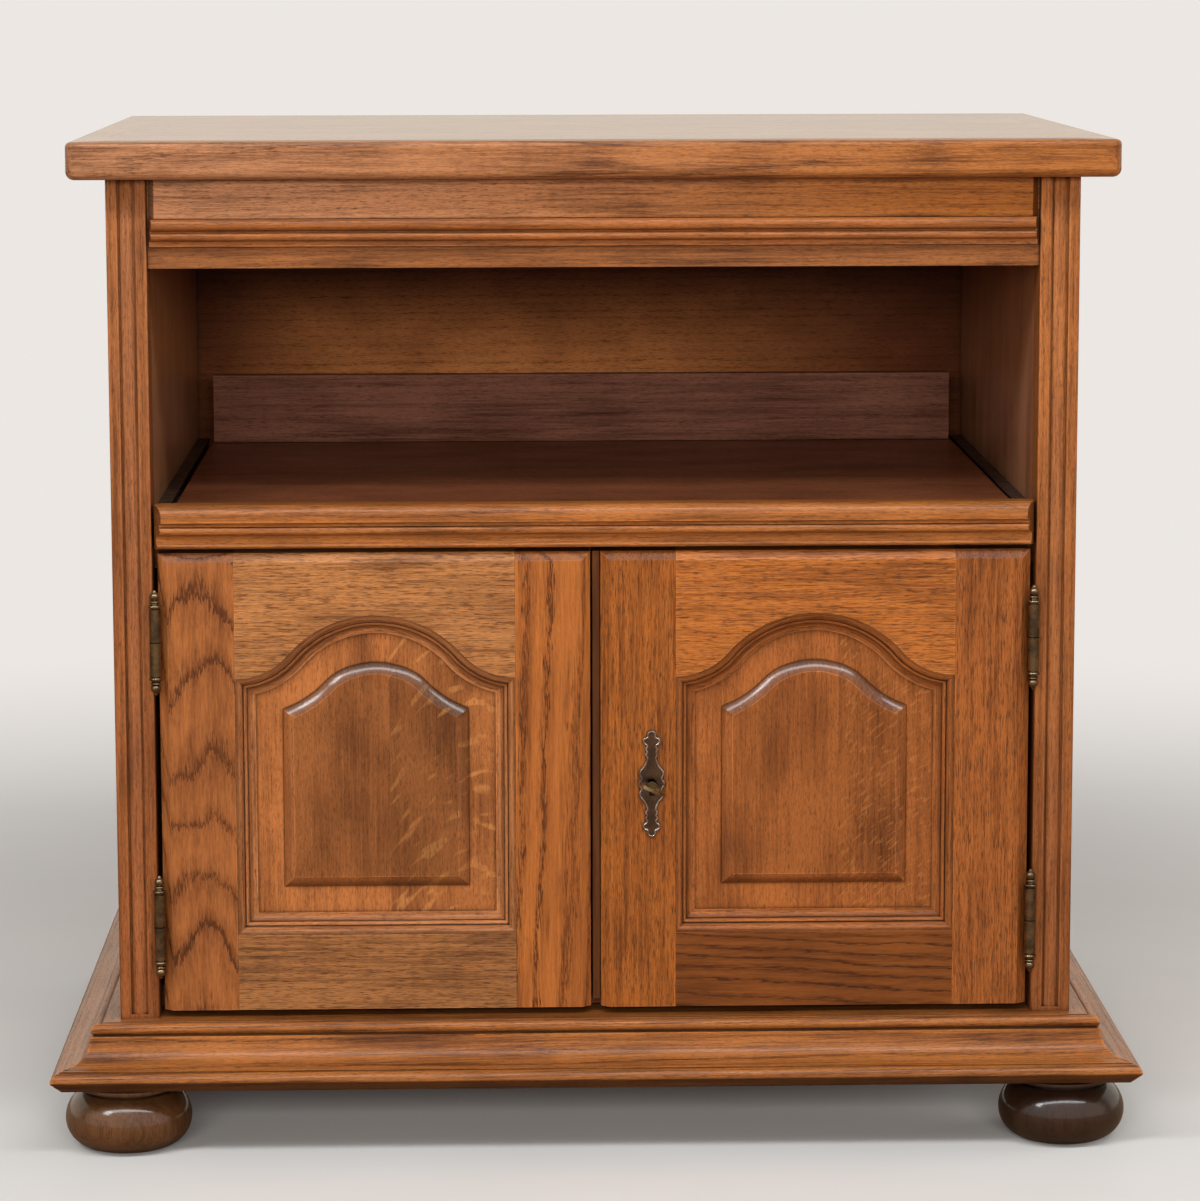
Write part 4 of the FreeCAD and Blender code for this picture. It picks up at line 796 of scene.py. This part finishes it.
# Panel mouldings
dress(panel_moulding(-1, "left_door"),
      moulding_oak("oak_left_panel_moulding", (31900, -60, 30), tone=(1.30, 1.50, 1.65), coat=0.15))
dress(panel_moulding(1, "right_door"),
      moulding_oak("oak_right_panel_moulding", (34900, -60, 30), tone=(1.05, 1.02, 0.85), coat=0.15))

# Base mouldings: place from the heart, the body's corners, and the direction out at each corner
BASE_LOOK = dict(tone=(1.03, 1.06, 0.76), coat=0.3, Figure=0.7, Streak=2.1)
front_left, front_right = (-BODY_HALF, BODY_FRONT), (BODY_HALF, BODY_FRONT)
back_left, back_right = (-BODY_HALF, BODY_BACK), (BODY_HALF, BODY_BACK)
BASE_RUNS = {
    "front": ((16900, -90, 20), front_left, front_right, (-1, -1), (1, -1)),
    "left": ((17900, -80, 40), back_left, front_left, (-1, 0), (-1, -1)),
    "right": ((18900, -80, 40), front_right, back_right, (1, -1), (1, 0)),
}
for run, (heart, *corners) in BASE_RUNS.items():
    dress(base_run("base_" + run + "_moulding", *corners),
          moulding_oak("oak_base_" + run, heart, **BASE_LOOK))

dress(meeting_strip(), oak("meeting_strip", "Z", (33900, -60, 60), 0.4, tone=(0.27, 0.25, 0.21)))


def keyhole_plate_half_width(z):
    """Half the width of the keyhole plate at heights from its middle: the widest of its knobs, lobes, neck
    and swell."""
    z = np.abs(z)
    swell_start, swell_turn, swell_end = (8.4, 4.4), (8.2, 12.2), (3.9, SWELL_TOP)
    swell = np.concatenate([[(8.4, 0.0), swell_start], arc(swell_start, (10.0, 8.6), swell_turn, 12),
                            arc(swell_turn, (5.0, 17.0), swell_end, 12)])
    swell = np.where(z <= SWELL_TOP, np.interp(z, swell[:, 1], swell[:, 0]), 0.0)
    neck = np.where((z >= NECK_LOW) & (z <= NECK_HIGH), NECK_HALF, 0.0)
    across, up, radius = np.array(PLATE_DISCS).T[..., None]
    inside = np.clip(radius ** 2 - (z - up) ** 2, 0.0, None)
    discs = np.where(inside > 0, across + np.sqrt(inside), 0.0)
    return np.max([swell, neck, *discs], axis=0)


def keyhole_plate_rim(centre, front):
    """Raised rim of the keyhole plate: a round bead carried along the plate's outline, just inside it."""
    z = RIM_TOP * np.sin(np.linspace(-0.5, 0.5, 321) * math.pi)
    half = np.convolve(np.pad(keyhole_plate_half_width(z), 2, "edge"), np.ones(5) / 5, "valid")
    x = np.concatenate([half, -half[::-1]])
    z = np.concatenate([z, z[::-1]])
    along = np.stack([np.roll(x, -2) - np.roll(x, 2), np.roll(z, -2) - np.roll(z, 2)])
    along /= np.linalg.norm(along, axis=0)
    angle = np.linspace(0, 2 * math.pi, 10, endpoint=False)[:, None]
    out = RIM_HALF * np.cos(angle) - RIM_HALF
    y = front + RIM_SUNK - RIM_HEIGHT * np.sin(angle)
    x, z = centre[0] + x + out * along[1], centre[1] + z - out * along[0]
    points = np.stack(np.broadcast_arrays(x, y, z), -1)
    faces = closed_grid(*x.shape)
    return new_piece("keyhole_plate_rim", points.reshape(-1, 3) / MM, faces, "right_door")[0]


def fitting_finish(name, colour, dark, rough, metallic):
    """Metal or plastic with a patina: slow and fine noise mixes the bright and the dark tone and varies the
    gloss, and recesses are darker, as patina on the metals and as painted shade on the fittings that are not
    metal."""
    material, r, shader = new_material(name)
    place = r.place_mm()
    slow = r.noise(place, (0.12, 0.12, 0.12), 4.0)
    fine = r.noise(place, (1.3, 1.3, 1.3), 3.0)
    share = r.fade(r.math("MULTIPLY_ADD", fine, 0.35, r.math("MULTIPLY", slow, 0.65)), 0.38, 0.62)
    colour = r.blend(share, (*dark, 1), (*colour, 1))
    # Darker recesses: patina on metal, painted shade on the rest
    recess = r.add("AmbientOcclusion", {"Distance": 0.0025}, "AO", samples=6)
    colour = r.blend(1.0, colour, r.grey(r.ramp(recess, (0.2, 0.25), (0.75, 1.0))), "MULTIPLY")
    bump = r.add("Bump", {"Strength": 0.15, "Distance": 0.0002, "Height": fine})
    r.fill(shader, {"Base Color": colour, "Roughness": r.math("MULTIPLY_ADD", share, -0.15, rough + 0.1),
                    "Metallic": metallic, "Normal": bump})
    return material


# Finishes of the fittings: bright tone, dark tone, roughness, metallic or not
FINISHES = {
    "hinge_brass": ((0.31, 0.225, 0.130), (0.115, 0.082, 0.046), 0.28, 1.0),
    "plate_bronze": ((0.22, 0.155, 0.115), (0.115, 0.078, 0.056), 0.24, 1.0),
    # Paler bronze for the plate's rim: rubbed wear and a painted highlight along the rim
    "rubbed_and_highlit_bronze": ((0.62, 0.55, 0.50), (0.26, 0.20, 0.16), 0.20, 1.0),
    "key_brass": ((0.46, 0.33, 0.16), (0.20, 0.14, 0.07), 0.25, 1.0),
    "lock_steel": ((0.45, 0.44, 0.42), (0.22, 0.21, 0.20), 0.35, 1.0),
    "runner_brown": ((0.060, 0.034, 0.022), (0.035, 0.020, 0.014), 0.45, 0.0),
    "catch_plastic": ((0.075, 0.040, 0.025), (0.050, 0.028, 0.018), 0.45, 0.0),
    "roller_nylon": ((0.62, 0.60, 0.55), (0.50, 0.48, 0.44), 0.45, 0.0),
}
FITTINGS = {
    "hinge_brass": ["left_post_hinge_leaves", "right_post_hinge_leaves", "left_door_hinge_leaves",
                    "right_door_hinge_leaves", "post_hinge_screws", "left_door_hinge_screws",
                    "right_door_hinge_screws"],
    "plate_bronze": ["escutcheon", "escutcheon_pins"],
    "key_brass": ["key"],
    "lock_steel": ["lock_case", "lock_bolt", "left_catch_plate"],
    "runner_brown": ["left_cabinet_runner", "right_cabinet_runner", "left_shelf_runner",
                     "right_shelf_runner"],
    "catch_plastic": ["left_door_catch"],
    "roller_nylon": ["left_front_roller", "right_front_roller", "left_rear_roller", "right_rear_roller"],
}
finishes = {name: fitting_finish(name, *look) for name, look in FINISHES.items()}
for name, fittings in FITTINGS.items():
    for fitting in fittings:
        dress(nodes[fitting], finishes[name])

plate_low, plate_high = box_mm("escutcheon")
plate_middle = (plate_low + plate_high) / 2
# The rim's paler bronze is rubbed wear and a painted highlight
dress(keyhole_plate_rim((plate_middle.x, plate_middle.z), plate_low.y), finishes["rubbed_and_highlit_bronze"])

# Floor, world and lamps
FLOOR_COLOUR = (0.90, 0.87, 0.84)
FLOOR_BOUNCE = (0.30, 0.19, 0.12)
FLOOR_HALF = 12
BACKDROP = (0.84, 0.80, 0.765)
WALL_GLARE = (0.86, 0.79, 0.68)
ROOM_GLARE = (0.80, 0.77, 0.74)
AMBIENT = (1.0, 0.97, 0.94)
WARM_WHITE = (1.0, 0.98, 0.95)


def pale_floor():
    """Floor that turns into the backdrop away from the cabinet. The camera sees it pale; the light it sends
    back to the cabinet is that of a wooden floor."""
    material, r, shader = new_material("pale_floor")
    output = shader.outputs[0].links[0].to_node
    place = r.place()
    seen = r.add("LightPath", out="Is Camera Ray")
    speck = r.noise(r.place_mm(), (0.004, 0.004, 0.004))
    tint = r.blend(seen, (*FLOOR_BOUNCE, 1), (*FLOOR_COLOUR, 1))
    tint = r.blend(1.0, tint, r.grey(r.fade(speck, 0.3, 0.7, 0.97, 1.0)), "MULTIPLY")
    r.fill(shader, {"Base Color": tint, "Roughness": 0.65, "Specular IOR Level": 0.2})
    far = r.fade(r.vector("LENGTH", place, out="Value"), 0.75, 2.3)
    glow = r.add("Emission", {"Color": (*BACKDROP, 1), "Strength": 1.0})
    surface = r.add("MixShader", {0: r.math("MULTIPLY", far, seen), 1: shader.outputs[0], 2: glow})
    r.tree.links.new(surface, output.inputs["Surface"])
    return material


def room():
    """World that is pale where the camera sees it and where the lacquer mirrors the room before and behind
    the cabinet, and dim elsewhere."""
    world = bpy.data.worlds.new("room")
    world.use_nodes = True
    world.node_tree.nodes.clear()
    r = Recipe(world.node_tree)
    ambient = r.add("Background", {"Color": (*AMBIENT, 1), "Strength": 0.16})
    backdrop, wall, before = (r.add("Background", {"Color": (*colour, 1), "Strength": 1.0})
                              for colour in (BACKDROP, WALL_GLARE, ROOM_GLARE))
    glossy = r.add("LightPath", out="Is Glossy Ray")
    y = r.add("SeparateXYZ", (r.add("TexCoord", out="Generated"),), "Y")
    mirrored_wall = r.math("MULTIPLY", glossy, r.fade(y, 0.0, 0.3))
    mirrored_room = r.math("MULTIPLY", glossy, r.fade(y, -0.3, 0.0, 1.0, 0.0))
    surface = r.add("MixShader", {0: mirrored_wall, 1: ambient, 2: wall})
    surface = r.add("MixShader", {0: mirrored_room, 1: surface, 2: before})
    surface = r.add("MixShader", {0: r.add("LightPath", out="Is Camera Ray"), 1: surface, 2: backdrop})
    r.tree.links.new(surface, r.tree.nodes.new("ShaderNodeOutputWorld").inputs["Surface"])
    return world


def lamp(name, place, target, size, power, colour, mirrored=True):
    """Soft rectangular lamp turned towards a place; the lacquer need not mirror it."""
    data = bpy.data.lights.new(name, "AREA")
    data.shape = "RECTANGLE"
    data.size, data.size_y = size
    data.energy = power
    data.color = colour
    made = bpy.data.objects.new(name, data)
    made.location = place
    made.rotation_euler = (Vector(target) - Vector(place)).to_track_quat("-Z", "Y").to_euler()
    made.visible_glossy = mirrored
    scene.collection.objects.link(made)


floor_corners = [(x * FLOOR_HALF, y * FLOOR_HALF, 0) for x, y in ((-1, -1), (1, -1), (1, 1), (-1, 1))]
floor_mesh = bpy.data.meshes.new("floor")
floor_mesh.from_pydata(floor_corners, [], [(0, 1, 2, 3)])
floor = bpy.data.objects.new("floor", floor_mesh)
scene.collection.objects.link(floor)
dress(floor, pale_floor())
scene.world = room()

lamp("front_lamp", (-0.1, -4.2, 1.35), (0, -0.2, 0.45), (3.0, 0.7), 97, WARM_WHITE, mirrored=False)
lamp("left_window", (-2.0, -1.85, 2.2), (0, -0.25, 0.4), (0.6, 0.7), 16, (0.97, 0.99, 1.0))
lamp("rear_lamp", (0.3, 3.6, 0.5), (0, 0.3, 0.4), (2.6, 0.5), 45, WARM_WHITE, mirrored=False)
lamp("right_lamp", (3.3, 0.15, 1.0), (0, 0.1, 0.45), (1.6, 0.9), 24, WARM_WHITE, mirrored=False)
lamp("over_lamp", (0.1, -1.75, 2.5), (0, -0.25, 0.4), (4.2, 0.45), 46, (0.93, 0.97, 1.0))

# Camera
camera = bpy.data.cameras.new("photo_camera")
camera.sensor_fit = "HORIZONTAL"
camera.sensor_width = SENSOR
camera.lens = LENS
camera.shift_y = -CENTRE_ABOVE_MIDDLE
camera.clip_start = 0.05
camera.clip_end = 60
eye = bpy.data.objects.new("photo_camera", camera)
forward = LOOK.normalized()
right = forward.cross(Vector((0, 0, 1))).normalized()
up = right.cross(forward)
right_rolled = right * math.cos(ROLL) + up * math.sin(ROLL)
up_rolled = up * math.cos(ROLL) - right * math.sin(ROLL)
axes = Matrix((right_rolled, up_rolled, -forward)).transposed()
eye.matrix_world = Matrix.Translation(EYE) @ axes.to_4x4()
scene.collection.objects.link(eye)
scene.camera = eye

scene.view_settings.view_transform = "Standard"
